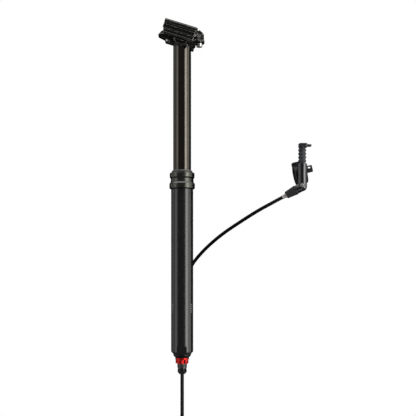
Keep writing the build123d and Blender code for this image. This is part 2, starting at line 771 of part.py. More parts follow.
# Crown: a neck bonded in the stanchion, a round seat for the cradle and two arms for the clamp bolts.
# Each arm's underside narrows to a keel, and each arm tapers to its tip.
arm_undersides = (
    (
        Vector(-stanchion_r, 0, rail_z - rear_arm_root_drop),
        Vector(-rear_arm_reach, 0, rail_z + rear_arm_tip_rise),
    ),
    (
        Vector(front_arm_knee, 0, rail_z - front_arm_knee_drop),
        Vector(stanchion_r, 0, rail_z - seat_r),
    ),
)
arm_tapers = (
    (-rear_arm_taper_start, -rear_arm_reach, rear_arm_tip_half_w),
    (front_arm_taper_start, front_arm_reach, front_arm_tip_half_w),
)
with BuildPart() as crown:
    with BuildSketch(Plane.XZ):
        with BuildLine():
            seat_left = -math.sqrt(seat_r**2 - rear_arm_inner_rise**2)
            seat_right = math.sqrt(seat_r**2 - front_arm_inner_drop**2)
            Polyline(
                (seat_right, rail_z - front_arm_inner_drop),
                (front_ear_back, rail_z - front_ear_top_drop),
                (front_arm_reach - ear_nose, rail_z - front_ear_top_drop),
                (front_arm_reach, rail_z - front_ear_top_drop - ear_nose),
                (front_arm_reach - ear_nose, rail_z - front_ear_low_drop),
                (front_ear_start, rail_z - front_ear_low_drop),
                (front_arm_knee, rail_z - front_arm_knee_drop),
                (stanchion_r, rail_z - seat_r),
                (-stanchion_r, rail_z - rear_arm_root_drop),
                (-rear_arm_reach, rail_z + rear_arm_tip_rise),
                (-rear_arm_top_reach, rear_arm_top_z),
                (seat_left, rail_z + rear_arm_inner_rise),
                close=True,
            )
        make_face()
    extrude(amount=crown_half_w, both=True)
    chamfer(crown.faces().sort_by(Axis.Y)[0].edges(), length=arm_edge)
    chamfer(crown.faces().sort_by(Axis.Y)[-1].edges(), length=arm_edge)
    for start, end in arm_undersides:
        with BuildSketch(Plane(origin=start, x_dir=(0, 1, 0), z_dir=end - start).offset(-overrun)):
            for flank in (-1, 1):
                with BuildLine():
                    Polyline(
                        (flank * (crown_half_w + overrun), overrun),
                        (flank * (crown_half_w + overrun), -keel_h * (1 + overrun / keel_w)),
                        (flank * (crown_half_w - keel_w * (1 + overrun / keel_h)), overrun),
                        close=True,
                    )
                make_face()
        extrude(amount=(end - start).length + 3 * overrun, mode=Mode.SUBTRACT)
    with BuildSketch(Plane.XY.offset(crown_seat)):
        for begin, reach, half_w in arm_tapers:
            for flank in (-1, 1):
                with BuildLine():
                    Polyline(
                        (begin, flank * crown_half_w),
                        (begin, flank * (crown_half_w + overrun)),
                        (2 * reach - begin, flank * (crown_half_w + overrun)),
                        (2 * reach - begin, flank * (2 * half_w - crown_half_w)),
                        close=True,
                    )
                make_face()
    extrude(amount=rear_arm_top_z - crown_seat + overrun, mode=Mode.SUBTRACT)
    with BuildSketch(Plane.XY.offset(crown_seat)):
        Circle(stanchion_r)
    extrude(amount=crown_rise - rear_arm_root_drop + crown_neck_lap)
    with BuildSketch(Plane.XY.offset(crown_spigot_low)):
        Circle(stanchion_bore_r - bond_gap)
        Circle(cartridge_r + cartridge_wall + bond_gap, mode=Mode.SUBTRACT)
    extrude(amount=crown_recess_h)
    with BuildSketch(Plane.XY.offset(crown_spigot_low + crown_recess_h)):
        Circle(stanchion_bore_r - bond_gap)
    extrude(amount=crown_spigot_h - crown_recess_h)
    with BuildSketch(Plane.XZ):
        with Locations((0, rail_z)):
            Circle(seat_r)
    extrude(amount=crown_half_w + overrun, both=True, mode=Mode.SUBTRACT)
    with BuildSketch(Plane.XY.offset(crown_spigot_low)):
        Circle(crown_bore_d / 2)
    extrude(amount=crown_spigot_h + overrun, mode=Mode.SUBTRACT)
    with BuildSketch(Plane.XY.offset(crown_seat)):
        with Locations((front_nut_x, 0), (rear_nut_x, 0)):
            Circle(ear_hole_d / 2)
    extrude(amount=rear_arm_top_z - crown_seat + overrun, mode=Mode.SUBTRACT)
    with BuildSketch(Plane.XY.offset(crown_seat)):
        with Locations((rear_nut_x, 0)):
            Circle(counterbore_d / 2)
    extrude(amount=rear_bolt_pivot_z - crown_seat, mode=Mode.SUBTRACT)
    add(front_washer_room, mode=Mode.SUBTRACT)
    add(rear_washer_room, mode=Mode.SUBTRACT)
    pocket_place = Location((flank_pocket_x, rail_z + flank_pocket_rise, 0), (0, 0, flank_pocket_slope))
    for flank in (-1, 1):
        with BuildSketch(Plane.XZ.offset(flank * crown_half_w)):
            with Locations(pocket_place):
                SlotOverall(flank_pocket_l, flank_pocket_w)
        extrude(amount=-flank * flank_pocket_depth, mode=Mode.SUBTRACT)
save(crown.part, "crown")

# Air valve and its cap in the crown's bore, under the cradle.
save(turned([
    (0, valve_z),
    (crown_bore_d / 2 - bond_gap, valve_z),
    (crown_bore_d / 2 - bond_gap, valve_z + valve_length / 2),
    (valve_d / 2, valve_z + valve_length / 2),
    (valve_d / 2, valve_z + valve_length),
    (0, valve_z + valve_length),
]), "air_valve")
save(turned([
    (valve_d / 2 + bond_gap, valve_z + valve_length - valve_cap_h / 2),
    (valve_cap_d / 2, valve_z + valve_length - valve_cap_h / 2),
    (valve_cap_d / 2, valve_z + valve_length + valve_cap_h / 2),
    (0, valve_z + valve_length + valve_cap_h / 2),
    (0, valve_z + valve_length + bond_gap),
    (valve_d / 2 + bond_gap, valve_z + valve_length + bond_gap),
]), "valve_cap")

# Lower cradle: a round boss that rocks in the crown's seat, with a grooved wing under each rail.
with BuildPart() as lower_cradle:
    with BuildSketch(clamp_side):
        Circle(cradle_boss_r)
        with Locations((0, cradle_boss_r - clamp_split)):
            Rectangle(2 * cradle_boss_r, 2 * cradle_boss_r, mode=Mode.SUBTRACT)
    extrude(amount=cradle_boss_half_w, both=True)
    with BuildSketch(clamp_section.offset(-cradle_rear)):
        for side in (-1, 1):
            with BuildLine():
                Polyline(
                    (side * cradle_wing_in, -clamp_split),
                    (side * clamp_half_w, -clamp_split),
                    (side * clamp_half_w, -cradle_low + cradle_wing_edge),
                    (side * (clamp_half_w - cradle_wing_edge), -cradle_low),
                    (side * cradle_wing_in, -cradle_low),
                    close=True,
                )
            make_face()
    extrude(amount=cradle_rear + cradle_front)
    with BuildSketch(clamp_section.offset(-cradle_rear - overrun)):
        with Locations((-rail_half_spacing, 0), (rail_half_spacing, 0)):
            Circle(rail_d / 2)
    extrude(amount=cradle_rear + cradle_front + 2 * overrun, mode=Mode.SUBTRACT)
    chamfer(lower_cradle.edges().filter_by(Axis.Y).group_by(Axis.X)[0], length=cradle_wing_edge)
save(lower_cradle.part, "lower_cradle")

# Upper clamp: an arched plate over the rails with a beam fore and aft for the barrel nuts.
with BuildPart() as upper_clamp:
    with BuildSketch(clamp_section.offset(-clamp_rear)):
        with BuildLine():
            Polyline(
                (-clamp_half_w, clamp_split),
                (-clamp_half_w, clamp_top_w - clamp_shoulder),
                (-clamp_half_w + clamp_shoulder, clamp_top_w),
                (clamp_half_w - clamp_shoulder, clamp_top_w),
                (clamp_half_w, clamp_top_w - clamp_shoulder),
                (clamp_half_w, clamp_split),
                (clamp_lip_in, clamp_split),
                (clamp_arch_in, clamp_arch_w),
                (-clamp_arch_in, clamp_arch_w),
                (-clamp_lip_in, clamp_split),
                close=True,
            )
        make_face()
    extrude(amount=clamp_rear + clamp_front)
    with BuildSketch(clamp_side):
        with BuildLine():
            Polyline(
                (-beam_rear_low, clamp_arch_w),
                (-beam_rear, clamp_top_w - clamp_shoulder),
                (-beam_rear + clamp_shoulder, clamp_top_w),
                (beam_front - beam_nose, clamp_top_w),
                (beam_front, clamp_top_w - beam_nose),
                (beam_front, beam_front_low_w),
                (beam_chin, clamp_arch_w),
                close=True,
            )
        make_face()
    extrude(amount=beam_half_w, both=True)
    with BuildSketch(clamp_plan.offset(web_low_w)):
        with BuildLine():
            Polyline(
                (clamp_front - web_back, clamp_half_w - clamp_shoulder),
                (clamp_front, clamp_half_w - clamp_shoulder),
                (beam_front - beam_nose, beam_half_w),
                (beam_front - beam_nose, -beam_half_w),
                (clamp_front, -clamp_half_w + clamp_shoulder),
                (clamp_front - web_back, -clamp_half_w + clamp_shoulder),
                close=True,
            )
        make_face()
    extrude(amount=clamp_top_w - web_low_w)
    with BuildSketch(clamp_section.offset(-clamp_rear - overrun)):
        with Locations((-rail_half_spacing, 0), (rail_half_spacing, 0)):
            Circle(rail_d / 2)
        with Locations(
            (-clamp_half_w, channel_low + channel_h / 2), (clamp_half_w, channel_low + channel_h / 2)
        ):
            Rectangle(2 * channel_depth, channel_h)
    extrude(amount=clamp_rear + clamp_front + 2 * overrun, mode=Mode.SUBTRACT)
    with BuildSketch(clamp_side):
        with Locations((front_nut_u, nut_w)):
            Circle(nut_d / 2 + run_gap)
    extrude(amount=clamp_half_w + overrun, both=True, mode=Mode.SUBTRACT)
    with BuildSketch(clamp_side.offset(beam_half_w)):
        with Locations((rear_nut_u, nut_w)):
            Circle(nut_d / 2 + run_gap)
    extrude(amount=-beam_half_w - clamp_half_w - overrun, mode=Mode.SUBTRACT)
    with BuildSketch(clamp_plan):
        with Locations((front_nut_u, 0), (rear_nut_u, 0)):
            SlotOverall(bolt_slot_l, bolt_d + 2 * slack)
    extrude(amount=clamp_top_w + overrun, mode=Mode.SUBTRACT)
    with BuildSketch(clamp_plan.offset(clamp_top_w - top_pocket_depth)):
        with GridLocations(2 * top_pocket_u, 2 * top_pocket_v, 2, 2):
            with Locations((beam_chin / 2 - clamp_rear / 2 - (clamp_front - beam_chin) / 2 - slack, 0)):
                RectangleRounded(top_pocket_l, top_pocket_w, top_pocket_r)
    extrude(amount=top_pocket_depth + overrun, mode=Mode.SUBTRACT)
save(upper_clamp.part, "upper_clamp")


def barrel_nut(u):
    """A cross nut in the upper clamp's beam, drilled for its bolt."""
    x, z = clamp_point(u, nut_w)
    with BuildPart() as nut:
        with BuildSketch(Plane.XZ):
            with Locations((x, z)):
                Circle(nut_d / 2)
        extrude(amount=beam_half_w - nut_end_gap, both=True)
        with BuildSketch(Plane.XY.offset(z - nut_d)):
            with Locations((x, 0)):
                Circle(bolt_d / 2 + run_gap)
        extrude(amount=2 * nut_d, mode=Mode.SUBTRACT)
    return nut.part


def clamp_bolt(x, nut_z, pivot_z):
    """A socket-head bolt that hangs from a barrel nut, with its head under the crown's arm."""
    head_top = pivot_z + bolt_head_h / 2
    with BuildPart() as bolt:
        with BuildSketch(Plane.XY.offset(head_top - bolt_head_h)):
            with Locations((x, 0)):
                Circle(bolt_head_d / 2)
        extrude(amount=bolt_head_h)
        chamfer(bolt.edges().group_by(Axis.Z)[0], length=slack)
        with BuildSketch(Plane.XY.offset(head_top)):
            with Locations((x, 0)):
                Circle(bolt_d / 2)
        extrude(amount=nut_z + bolt_stick_out - head_top)
        chamfer(bolt.edges().group_by(Axis.Z)[-1], length=slack)
        with BuildSketch(Plane.XY.offset(head_top - bolt_head_h)):
            with Locations((x, 0)):
                RegularPolygon(bolt_socket_flats / 2, 6, major_radius=False)
        extrude(amount=bolt_socket_depth, mode=Mode.SUBTRACT)
    return bolt.part


def dome_washer(x, pivot_z):
    """A washer with a domed top that swivels in the arm's seat, so that the bolt can lean."""
    flat = pivot_z + bolt_head_h / 2
    hole_r = bolt_d / 2 + 2 * run_gap
    rim_r = washer_d / 2
    inner_z = pivot_z + math.sqrt(washer_dome_r**2 - hole_r**2)
    rim_z = pivot_z + math.sqrt(washer_dome_r**2 - rim_r**2)
    middle_r = (hole_r + rim_r) / 2
    middle_z = pivot_z + math.sqrt(washer_dome_r**2 - middle_r**2)
    with BuildPart() as washer:
        with BuildSketch(Plane(origin=(x, 0, 0), x_dir=(1, 0, 0), z_dir=(0, -1, 0))):
            with BuildLine():
                Polyline((hole_r, inner_z), (hole_r, flat), (rim_r, flat), (rim_r, rim_z))
                ThreePointArc((rim_r, rim_z), (middle_r, middle_z), (hole_r, inner_z))
            make_face()
        revolve(axis=Axis((x, 0, 0), (0, 0, 1)))
    return washer.part


save(barrel_nut(front_nut_u), "front_barrel_nut")
save(barrel_nut(rear_nut_u), "rear_barrel_nut")
save(clamp_bolt(front_nut_x, front_nut_z, front_bolt_pivot_z), "front_clamp_bolt")
save(clamp_bolt(rear_nut_x, rear_nut_z, rear_bolt_pivot_z), "rear_clamp_bolt")
save(dome_washer(front_nut_x, front_bolt_pivot_z), "front_dome_washer")
save(dome_washer(rear_nut_x, rear_bolt_pivot_z), "rear_dome_washer")

# Remote body: an upright cylinder, a round elbow and a short arm that carries the speed adjuster.
adjuster_low = arm_length + adjuster_gap
adjuster_tip = adjuster_low + adjuster_length
with BuildPart() as remote_body:
    with BuildSketch(remote_side):
        with BuildLine():
            Polyline(
                (0, elbow_z),
                (body_r, elbow_z),
                (body_waist_d / 2, (elbow_z + body_top_z) / 2),
                (body_r, body_top_z - 2 * body_rim_h),
                (body_r, body_top_z - slack),
                (body_r - slack, body_top_z),
                (0, body_top_z),
                close=True,
            )
        make_face()
    revolve(axis=remote_axis)
    with Locations((remote_x, 0, elbow_z)):
        Sphere(body_r)
    with BuildSketch(Plane(origin=elbow, x_dir=(0, 1, 0), z_dir=barrel_way)):
        Circle(arm_d / 2)
    extrude(amount=arm_length)
    with BuildSketch(barrel_level(arm_length)):
        Circle(adjuster_stem_d / 2)
    extrude(amount=adjuster_gap + adjuster_length)
    with BuildSketch(Plane(origin=(remote_x, 0, elbow_z), x_dir=(1, 0, 0), z_dir=(0, -1, 0))):
        with Locations((bleed_x, bleed_z)):
            Circle(bleed_boss_d / 2)
    extrude(amount=bleed_boss_out)
    with BuildSketch(remote_level(body_bore_floor)):
        Circle(body_bore_d / 2)
    extrude(amount=body_top_z - body_bore_floor, mode=Mode.SUBTRACT)
    with BuildSketch(Plane(origin=elbow, x_dir=(0, 1, 0), z_dir=barrel_way)):
        Circle(oil_hole_d / 2)
    extrude(amount=adjuster_tip, mode=Mode.SUBTRACT)
    with BuildSketch(remote_level(elbow_z)):
        Circle(oil_hole_d / 2)
    extrude(amount=body_bore_floor - elbow_z, mode=Mode.SUBTRACT)
    bleed_plane = Plane(
        origin=(remote_x + bleed_x, -bleed_boss_out, elbow_z + bleed_z), x_dir=(1, 0, 0), z_dir=(0, -1, 0)
    )
    with BuildSketch(bleed_plane):
        Circle(bleed_head_d / 2 + bond_gap)
    extrude(amount=-bleed_sink, mode=Mode.SUBTRACT)
    with BuildSketch(bleed_plane):
        Circle(bleed_thread_d / 2 + bond_gap)
    extrude(amount=-bleed_depth - bond_gap, mode=Mode.SUBTRACT)
save(remote_body.part, "remote_body")

# Bleed screw: a small socket screw in the elbow's boss.
with BuildPart() as bleed_screw:
    with BuildSketch(bleed_plane.offset(-bleed_sink + bond_gap)):
        Circle(bleed_head_d / 2)
    extrude(amount=bleed_head_h)
    chamfer(bleed_screw.edges().group_by(Axis.Y)[0], length=slack)
    with BuildSketch(bleed_plane.offset(-bleed_depth)):
        Circle(bleed_thread_d / 2)
    extrude(amount=bleed_depth - bleed_sink + bond_gap)
    with BuildSketch(bleed_plane.offset(bleed_head_h - bleed_sink + bond_gap)):
        RegularPolygon(bleed_socket_flats / 2, 6, major_radius=False)
    extrude(amount=-bleed_head_h / 2, mode=Mode.SUBTRACT)
save(bleed_screw.part, "bleed_screw")

# Speed adjuster: a fluted, tapered barrel that turns on the arm's stem.
with BuildPart() as flute:
    with BuildSketch(barrel_level(adjuster_low + adjuster_collar_h)):
        with Locations((adjuster_top_d / 2 + adjuster_flute_d / 2 - adjuster_flute_sink, 0)):
            Circle(adjuster_flute_d / 2)
    with BuildSketch(barrel_level(adjuster_tip + overrun)):
        taper = (adjuster_top_d - adjuster_tip_d) / 2 * (1 + overrun / adjuster_length)
        with Locations((adjuster_top_d / 2 - taper + adjuster_flute_d / 2 - adjuster_flute_sink, 0)):
            Circle(adjuster_flute_d / 2)
    loft()
flutes = [flute.part.rotate(barrel_axis, 360 * turn / adjuster_flutes) for turn in range(adjuster_flutes)]
with BuildPart() as speed_adjuster:
    with BuildSketch(barrel_side):
        with BuildLine():
            Polyline(
                (adjuster_low, adjuster_stem_d / 2 + run_gap),
                (adjuster_low, adjuster_top_d / 2 - slack),
                (adjuster_low + slack, adjuster_top_d / 2),
                (adjuster_tip - slack, adjuster_tip_d / 2),
                (adjuster_tip, adjuster_tip_d / 2 - slack),
                (adjuster_tip, adjuster_stem_d / 2 + run_gap),
                close=True,
            )
        make_face()
    revolve(axis=barrel_axis)
    add(flutes, mode=Mode.SUBTRACT)
save(speed_adjuster.part, "speed_adjuster")

# Ferrule: the metal end of the hose, against the stem's end.
with BuildPart() as hose_ferrule:
    with BuildSketch(barrel_level(adjuster_tip + slack)):
        Circle(ferrule_collar_d / 2)
    extrude(amount=ferrule_collar_h)
    with BuildSketch(barrel_level(adjuster_tip + slack + ferrule_collar_h)):
        Circle(ferrule_d / 2)
    extrude(amount=ferrule_length - ferrule_collar_h)
save(hose_ferrule.part, "hose_ferrule")

# Guide bush at the top of the remote's bore.
with BuildPart() as plunger_bush:
    with BuildSketch(remote_level(body_top_z - guide_bush_h)):
        Circle(body_bore_d / 2 - bond_gap)
        Circle(plunger_d / 2 + run_gap, mode=Mode.SUBTRACT)
    extrude(amount=guide_bush_h)
save(plunger_bush.part, "plunger_bush")

# Plunger rod from the thumb paddle to the master piston.
master_r = body_bore_d / 2 - run_gap
master_top = master_piston_z + master_piston_h
rod_top = paddle_z + paddle_h / 2
with BuildPart() as plunger_rod:
    with BuildSketch(remote_level(master_top)):
        Circle(plunger_d / 2)
    extrude(amount=rod_top - master_top)
save(plunger_rod.part, "plunger_rod")

master_seal_z = [master_piston_z + master_piston_h * share for share in seal_shares]
with BuildPart() as master_piston:
    with BuildSketch(remote_level(master_piston_z)):
        Circle(master_r)
    extrude(amount=master_piston_h)
    for height in master_seal_z:
        with BuildSketch(remote_level(height - master_seal_d / 2 - run_gap)):
            Circle(master_r + overrun)
            Circle(master_r - master_seal_d - run_gap, mode=Mode.SUBTRACT)
        extrude(amount=master_seal_d + 2 * run_gap, mode=Mode.SUBTRACT)
save(master_piston.part, "master_piston")
save(
    seal_rings(remote_side, remote_axis, master_seal_z, master_r - master_seal_d / 2, master_seal_d),
    "master_piston_seals",
)

# Return spring under the master piston.
with BuildPart() as return_spring:
    spring_low = body_bore_floor + spring_wire_d / 2 + slack
    spring_h = master_piston_z - spring_wire_d / 2 - slack - spring_low
    with BuildLine() as spring_line:
        Helix(
            pitch=spring_h / spring_turns,
            height=spring_h,
            radius=(spring_d - spring_wire_d) / 2,
            center=(remote_x, 0, spring_low),
        )
    with BuildSketch(Plane(origin=spring_line.line @ 0, z_dir=spring_line.line % 0)):
        Circle(spring_wire_d / 2)
    sweep(is_frenet=True)
save(return_spring.part, "return_spring")

# Boot: a thin bellows between the body's rim and the paddle.
outer = [(boot_valley_d / 2, boot_low + boot_low_cuff_h)]
for fold in range(boot_folds):
    crest = boot_low + boot_low_cuff_h + (fold + 0.5) * boot_pitch
    outer.append((boot_bulge_d / 2, crest))
    outer.append((boot_valley_d / 2, crest + boot_pitch / 2))
boot_top = paddle_z - slack
boot = turned(
    [(boot_bulge_d / 2 - boot_wall / 2, boot_low + bond_gap)]
    + outer
    + [(boot_valley_d / 2, boot_top)]
    + [(r - boot_wall, z) for r, z in [(boot_valley_d / 2, boot_top)] + outer[::-1]]
    + [(boot_valley_d / 2 - boot_wall, boot_low + bond_gap)],
    remote_side,
    remote_axis,
)
save(boot, "boot")

# Thumb paddle: a rounded block with a dished top and a thin tongue to the front.
with BuildPart() as thumb_paddle:
    with BuildSketch(remote_level(paddle_z)):
        with Locations((paddle_shift, 0)):
            RectangleRounded(paddle_w, paddle_depth, paddle_round)
    extrude(amount=paddle_h)
    chamfer(thumb_paddle.edges().group_by(Axis.Z)[-1], length=paddle_edge)
    with BuildSketch(remote_level(paddle_z + paddle_tab_low)):
        with Locations((paddle_tab_reach - paddle_w / 2, 0)):
            RectangleRounded(paddle_w, paddle_tab_w, paddle_round)
    extrude(amount=paddle_tab_h)
    dish_z = paddle_z + paddle_h + paddle_dish_r - paddle_dish_depth
    with BuildSketch(remote_side):
        with Locations((paddle_shift, dish_z)):
            Circle(paddle_dish_r)
    extrude(amount=paddle_depth / 2 - paddle_edge, both=True, mode=Mode.SUBTRACT)
    with BuildSketch(remote_level(paddle_z)):
        Circle(plunger_d / 2 + bond_gap)
    extrude(amount=rod_top - paddle_z + bond_gap, mode=Mode.SUBTRACT)
save(thumb_paddle.part, "thumb_paddle")

# Handlebar clamp: a split band behind the body, with a saddle for the body and a slotted tab.
bar_out_r = bar_d / 2 + bar_clamp_wall
saddle_y = bar_y - bar_d / 2 - bar_clamp_wall / 2
bar_front = Plane(origin=(remote_x, saddle_y, bar_clamp_z), x_dir=(bar_cos, 0, bar_sin), z_dir=(0, -1, 0))
screw_plane = Plane(origin=bar_plane.from_local_coords((0, bar_ear_top - bar_screw_drop, 0)), z_dir=(0, 1, 0))
screw_reach = bar_ear_half + bar_split / 2
with BuildPart() as bar_clamp:
    with BuildSketch(bar_plane.offset(-bar_clamp_w / 2)):
        Circle(bar_out_r)
        with Locations((0, bar_ear_top / 2)):
            Rectangle(2 * screw_reach, bar_ear_top)
    extrude(amount=bar_clamp_w)
    chamfer(bar_clamp.edges().group_by(Axis(bar_plane.origin, bar_plane.z_dir))[0], length=bar_clamp_edge)
    chamfer(bar_clamp.edges().group_by(Axis(bar_plane.origin, bar_plane.z_dir))[-1], length=bar_clamp_edge)
    with BuildSketch(remote_side.offset(-saddle_y)):
        with Locations((0, bar_clamp_z)):
            RectangleRounded(bar_saddle_w, bar_saddle_h, tab_corner)
    extrude(amount=saddle_y - body_r + bar_saddle_wrap)
    with BuildSketch(bar_front):
        with Locations(((tab_start + tab_reach) / 2, (tab_low + tab_top) / 2)):
            RectangleRounded(tab_reach - tab_start, tab_top - tab_low, tab_corner)
        with Locations((tab_slot_u, tab_slot_rise)):
            SlotOverall(tab_slot_l, tab_slot_w, mode=Mode.SUBTRACT)
    extrude(amount=tab_thick)
    with BuildSketch(bar_plane.offset(-bar_clamp_w)):
        Circle(bar_d / 2)
        with Locations((0, bar_ear_top)):
            Rectangle(bar_split, 2 * bar_ear_top)
    extrude(amount=2 * bar_clamp_w, mode=Mode.SUBTRACT)
    with BuildSketch(remote_level(elbow_z)):
        Circle(body_r + bond_gap)
    extrude(amount=body_top_z, mode=Mode.SUBTRACT)
    with BuildSketch(screw_plane):
        Circle(bar_screw_d / 2 + bond_gap)
    extrude(amount=bar_out_r, both=True, mode=Mode.SUBTRACT)
save(bar_clamp.part, "bar_clamp")

with BuildPart() as bar_screw:
    with BuildSketch(screw_plane.offset(screw_reach)):
        Circle(bar_screw_head_d / 2)
    extrude(amount=bar_screw_head_h)
    with BuildSketch(screw_plane.offset(-screw_reach)):
        Circle(bar_screw_d / 2)
    extrude(amount=2 * screw_reach)
    with BuildSketch(screw_plane.offset(screw_reach + bar_screw_head_h)):
        RegularPolygon(bar_screw_d / 3, 6, major_radius=False)
    extrude(amount=-bar_screw_head_h / 2, mode=Mode.SUBTRACT)
save(bar_screw.part, "bar_screw")

# Hose, from the connector straight down to the coil.
coil_start = coil_z + hose_d
with BuildPart() as hose_lower:
    with BuildSketch(Plane.XY.offset(coil_start)):
        Circle(hose_r)
    extrude(amount=nut_low_z - coil_start)
save(hose_lower.part, "hose_lower")

# Hose coil: half turns that spiral in, step sideways at the tightest one and spiral out again.
reverse = coil_half_turns // 2
coil_points = []
for turn in range(coil_half_turns + 1):
    inward = turn if turn <= reverse else coil_half_turns - turn
    sideways = 0 if turn <= reverse else -coil_step
    if turn % 2 == 0:
        place = (inward + (turn > reverse)) // 2 * coil_step
    else:
        place = 2 * coil_r - (inward - 1) // 2 * coil_step
    coil_points.append(Vector(sideways, place, coil_z))


def half_turn_middle(start, end, turn):
    """The lowest or highest point of a half turn between two ends at the coil's middle height."""
    drop = (end - start).length / 2 * (-1 if turn % 2 == 0 else 1)
    return (start + end) * 0.5 + Vector(0, 0, drop)


with BuildPart() as hose_coil:
    with BuildLine() as coil_line:
        Line(coil_points[0] + Vector(0, 0, hose_d), coil_points[0])
        for turn in range(coil_half_turns):
            first, last = coil_points[turn], coil_points[turn + 1]
            ThreePointArc(first, half_turn_middle(first, last, turn), last)
        Line(coil_points[-1], coil_points[-1] + Vector(0, 0, hose_d))
    with BuildSketch(Plane(origin=coil_points[0] + Vector(0, 0, hose_d), z_dir=(0, 0, -1))):
        Circle(hose_r)
    sweep()
save(hose_coil.part, "hose_coil")
coil_wire = coil_line.wire()
coil_volume_ratio = hose_coil.part.volume / (math.pi * hose_r**2 * coil_wire.length)
print("coil length", round(coil_wire.length, 1))
print("coil's volume over section times length", round(coil_volume_ratio, 5))

# Least gap of the coil to itself, on points that lie a few diameters or more apart along it.
samples = [coil_wire.position_at(step / coil_samples) for step in range(coil_samples + 1)]
apart = int(4 * hose_d * coil_samples / coil_wire.length)
least = min(
    (samples[a] - samples[b]).length
    for a in range(0, coil_samples + 1, 2)
    for b in range(a + apart, coil_samples + 1, 2)
)
print("least gap of the coil to itself", round(least - hose_d, 3))

# Hose, from the coil up behind the post and across to the remote's ferrule.
hose_end = elbow + barrel_way * (adjuster_tip + slack + ferrule_length)
coil_end = coil_points[-1] + Vector(0, 0, hose_d)
upper_points = [
    coil_end,
    coil_end + Vector(0, 0, upper_lead_up),
    *[Vector(*point) for point in upper_route],
    hose_end + barrel_way * upper_lead_in,
    hose_end,
]
upper_radii = []
for before, at, after in zip(upper_points, upper_points[1:], upper_points[2:]):
    run_in, run_out = at - before, after - at
    shorter = min(run_in.length, run_out.length)
    half_bend = math.radians(run_in.get_angle(run_out) / 2)
    upper_radii.append(hose_fillet_share * shorter / math.tan(half_bend))
print("upper hose radii", [round(radius, 1) for radius in upper_radii])
with BuildPart() as hose_upper:
    with BuildLine() as upper_line:
        FilletPolyline(*upper_points, radius=upper_radii)
    with BuildSketch(Plane(origin=upper_points[0], z_dir=(0, 0, 1))):
        Circle(hose_r)
    sweep()
save(hose_upper.part, "hose_upper")
upper_length = upper_line.wire().length
upper_volume_ratio = hose_upper.part.volume / (math.pi * hose_r**2 * upper_length)
print("upper hose length", round(upper_length, 1))
print("upper hose's volume over section times length", round(upper_volume_ratio, 5))
print("whole hose", round(nut_low_z - coil_start + coil_wire.length + upper_length, 1))

# Ties round the coil's strands, one at the bottom and one at the top.
inner_r = coil_r - coil_half_turns // 4 * coil_step
tie_opening_w = coil_step + hose_d + 2 * tie_gap
tie_opening_h = coil_r - inner_r + hose_d + 2 * tie_gap
tie_y = coil_r + coil_step / 2
tie_heights = (coil_z - (coil_r + inner_r) / 2, coil_z + (coil_r + inner_r - coil_step) / 2)
with BuildPart() as coil_ties:
    with BuildSketch(Plane.XZ.offset(-tie_y)):
        with Locations(*[(-coil_step / 2, height) for height in tie_heights]):
            Rectangle(tie_opening_w + 2 * tie_wall, tie_opening_h + 2 * tie_wall)
            Rectangle(tie_opening_w, tie_opening_h, mode=Mode.SUBTRACT)
    extrude(amount=tie_w / 2, both=True)
save(coil_ties.part, "coil_ties")
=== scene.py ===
"""A dropper seatpost with its plunger remote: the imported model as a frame, dressed for a studio.

Sizes in the classes are in millimetres in the frame's own axes: +Z up the post, +X to the front of
the bicycle, +Y to its left side, and the origin on the post's axis at the collar's lower face.
"""

import logging
import math
from dataclasses import dataclass
from enum import Enum
from itertools import product
from typing import Callable, Sequence, Union

import bmesh
import bpy
from mathutils import Matrix, Vector
from mathutils.bvhtree import BVHTree


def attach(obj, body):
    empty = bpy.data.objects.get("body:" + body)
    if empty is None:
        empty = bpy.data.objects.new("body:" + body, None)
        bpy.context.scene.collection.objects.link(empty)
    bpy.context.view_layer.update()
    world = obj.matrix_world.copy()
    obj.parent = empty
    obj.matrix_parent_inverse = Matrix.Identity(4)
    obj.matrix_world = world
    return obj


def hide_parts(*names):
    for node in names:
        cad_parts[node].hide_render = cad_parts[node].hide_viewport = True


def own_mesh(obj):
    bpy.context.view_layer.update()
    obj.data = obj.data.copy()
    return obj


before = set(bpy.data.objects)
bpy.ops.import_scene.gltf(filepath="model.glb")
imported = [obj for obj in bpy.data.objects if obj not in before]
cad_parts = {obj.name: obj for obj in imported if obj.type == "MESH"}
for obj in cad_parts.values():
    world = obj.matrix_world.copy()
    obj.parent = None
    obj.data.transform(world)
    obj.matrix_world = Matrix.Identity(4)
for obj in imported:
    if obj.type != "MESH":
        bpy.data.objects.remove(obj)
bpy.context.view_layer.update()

MM = 0.001
Colour = tuple[float, float, float]
Point = tuple[float, float, float]
Corner = tuple[float, float, float]
Span = tuple[float, float]

# Turned sections: the runs of a rounded corner, the most of a side that it takes up, and no radius at all
EASE_RUNS = 5
EASE_MOST = 0.48
ON_AXIS = 1e-6

# Rounded edges of CAD nodes, with gaps in metres and shares of the wanted width
JOIN_GAP = 2e-6
FLAT_DEG = 0.7
EDGE_DEG = 28.0
EDGE_RUNS = 3
EDGE_SHARES = (1.0, 0.7, 0.5, 0.35, 0.25, 0.15, 0.08)
FULL_EDGE_LENGTH = 4
SURFACE_GAP = 1e-6
SURFACE_ROOM = 0.03 * MM
EDGE_ROOM = 0.4
FLAT_NORMAL_WEIGHT = 80

# Worn edges, which also carry a painted edge highlight: how much of it reaches the flat beside an edge, its
# patches, and where they start and end
RIM_WEAR_AND_HIGHLIGHT = 0.4
WEAR_AND_HIGHLIGHT_MM = 1.6
WEAR_AND_HIGHLIGHT_EDGES = (0.28, 0.62)

# Other looks that all finishes share
PATCH_EDGES = (0.3, 0.7)
DRAWN_SCALE = (1, 1, 0.02)
MOULDED_SCALE = 6
COAT_ROUGHNESS = 0.06

log = logging.getLogger("seatpost")


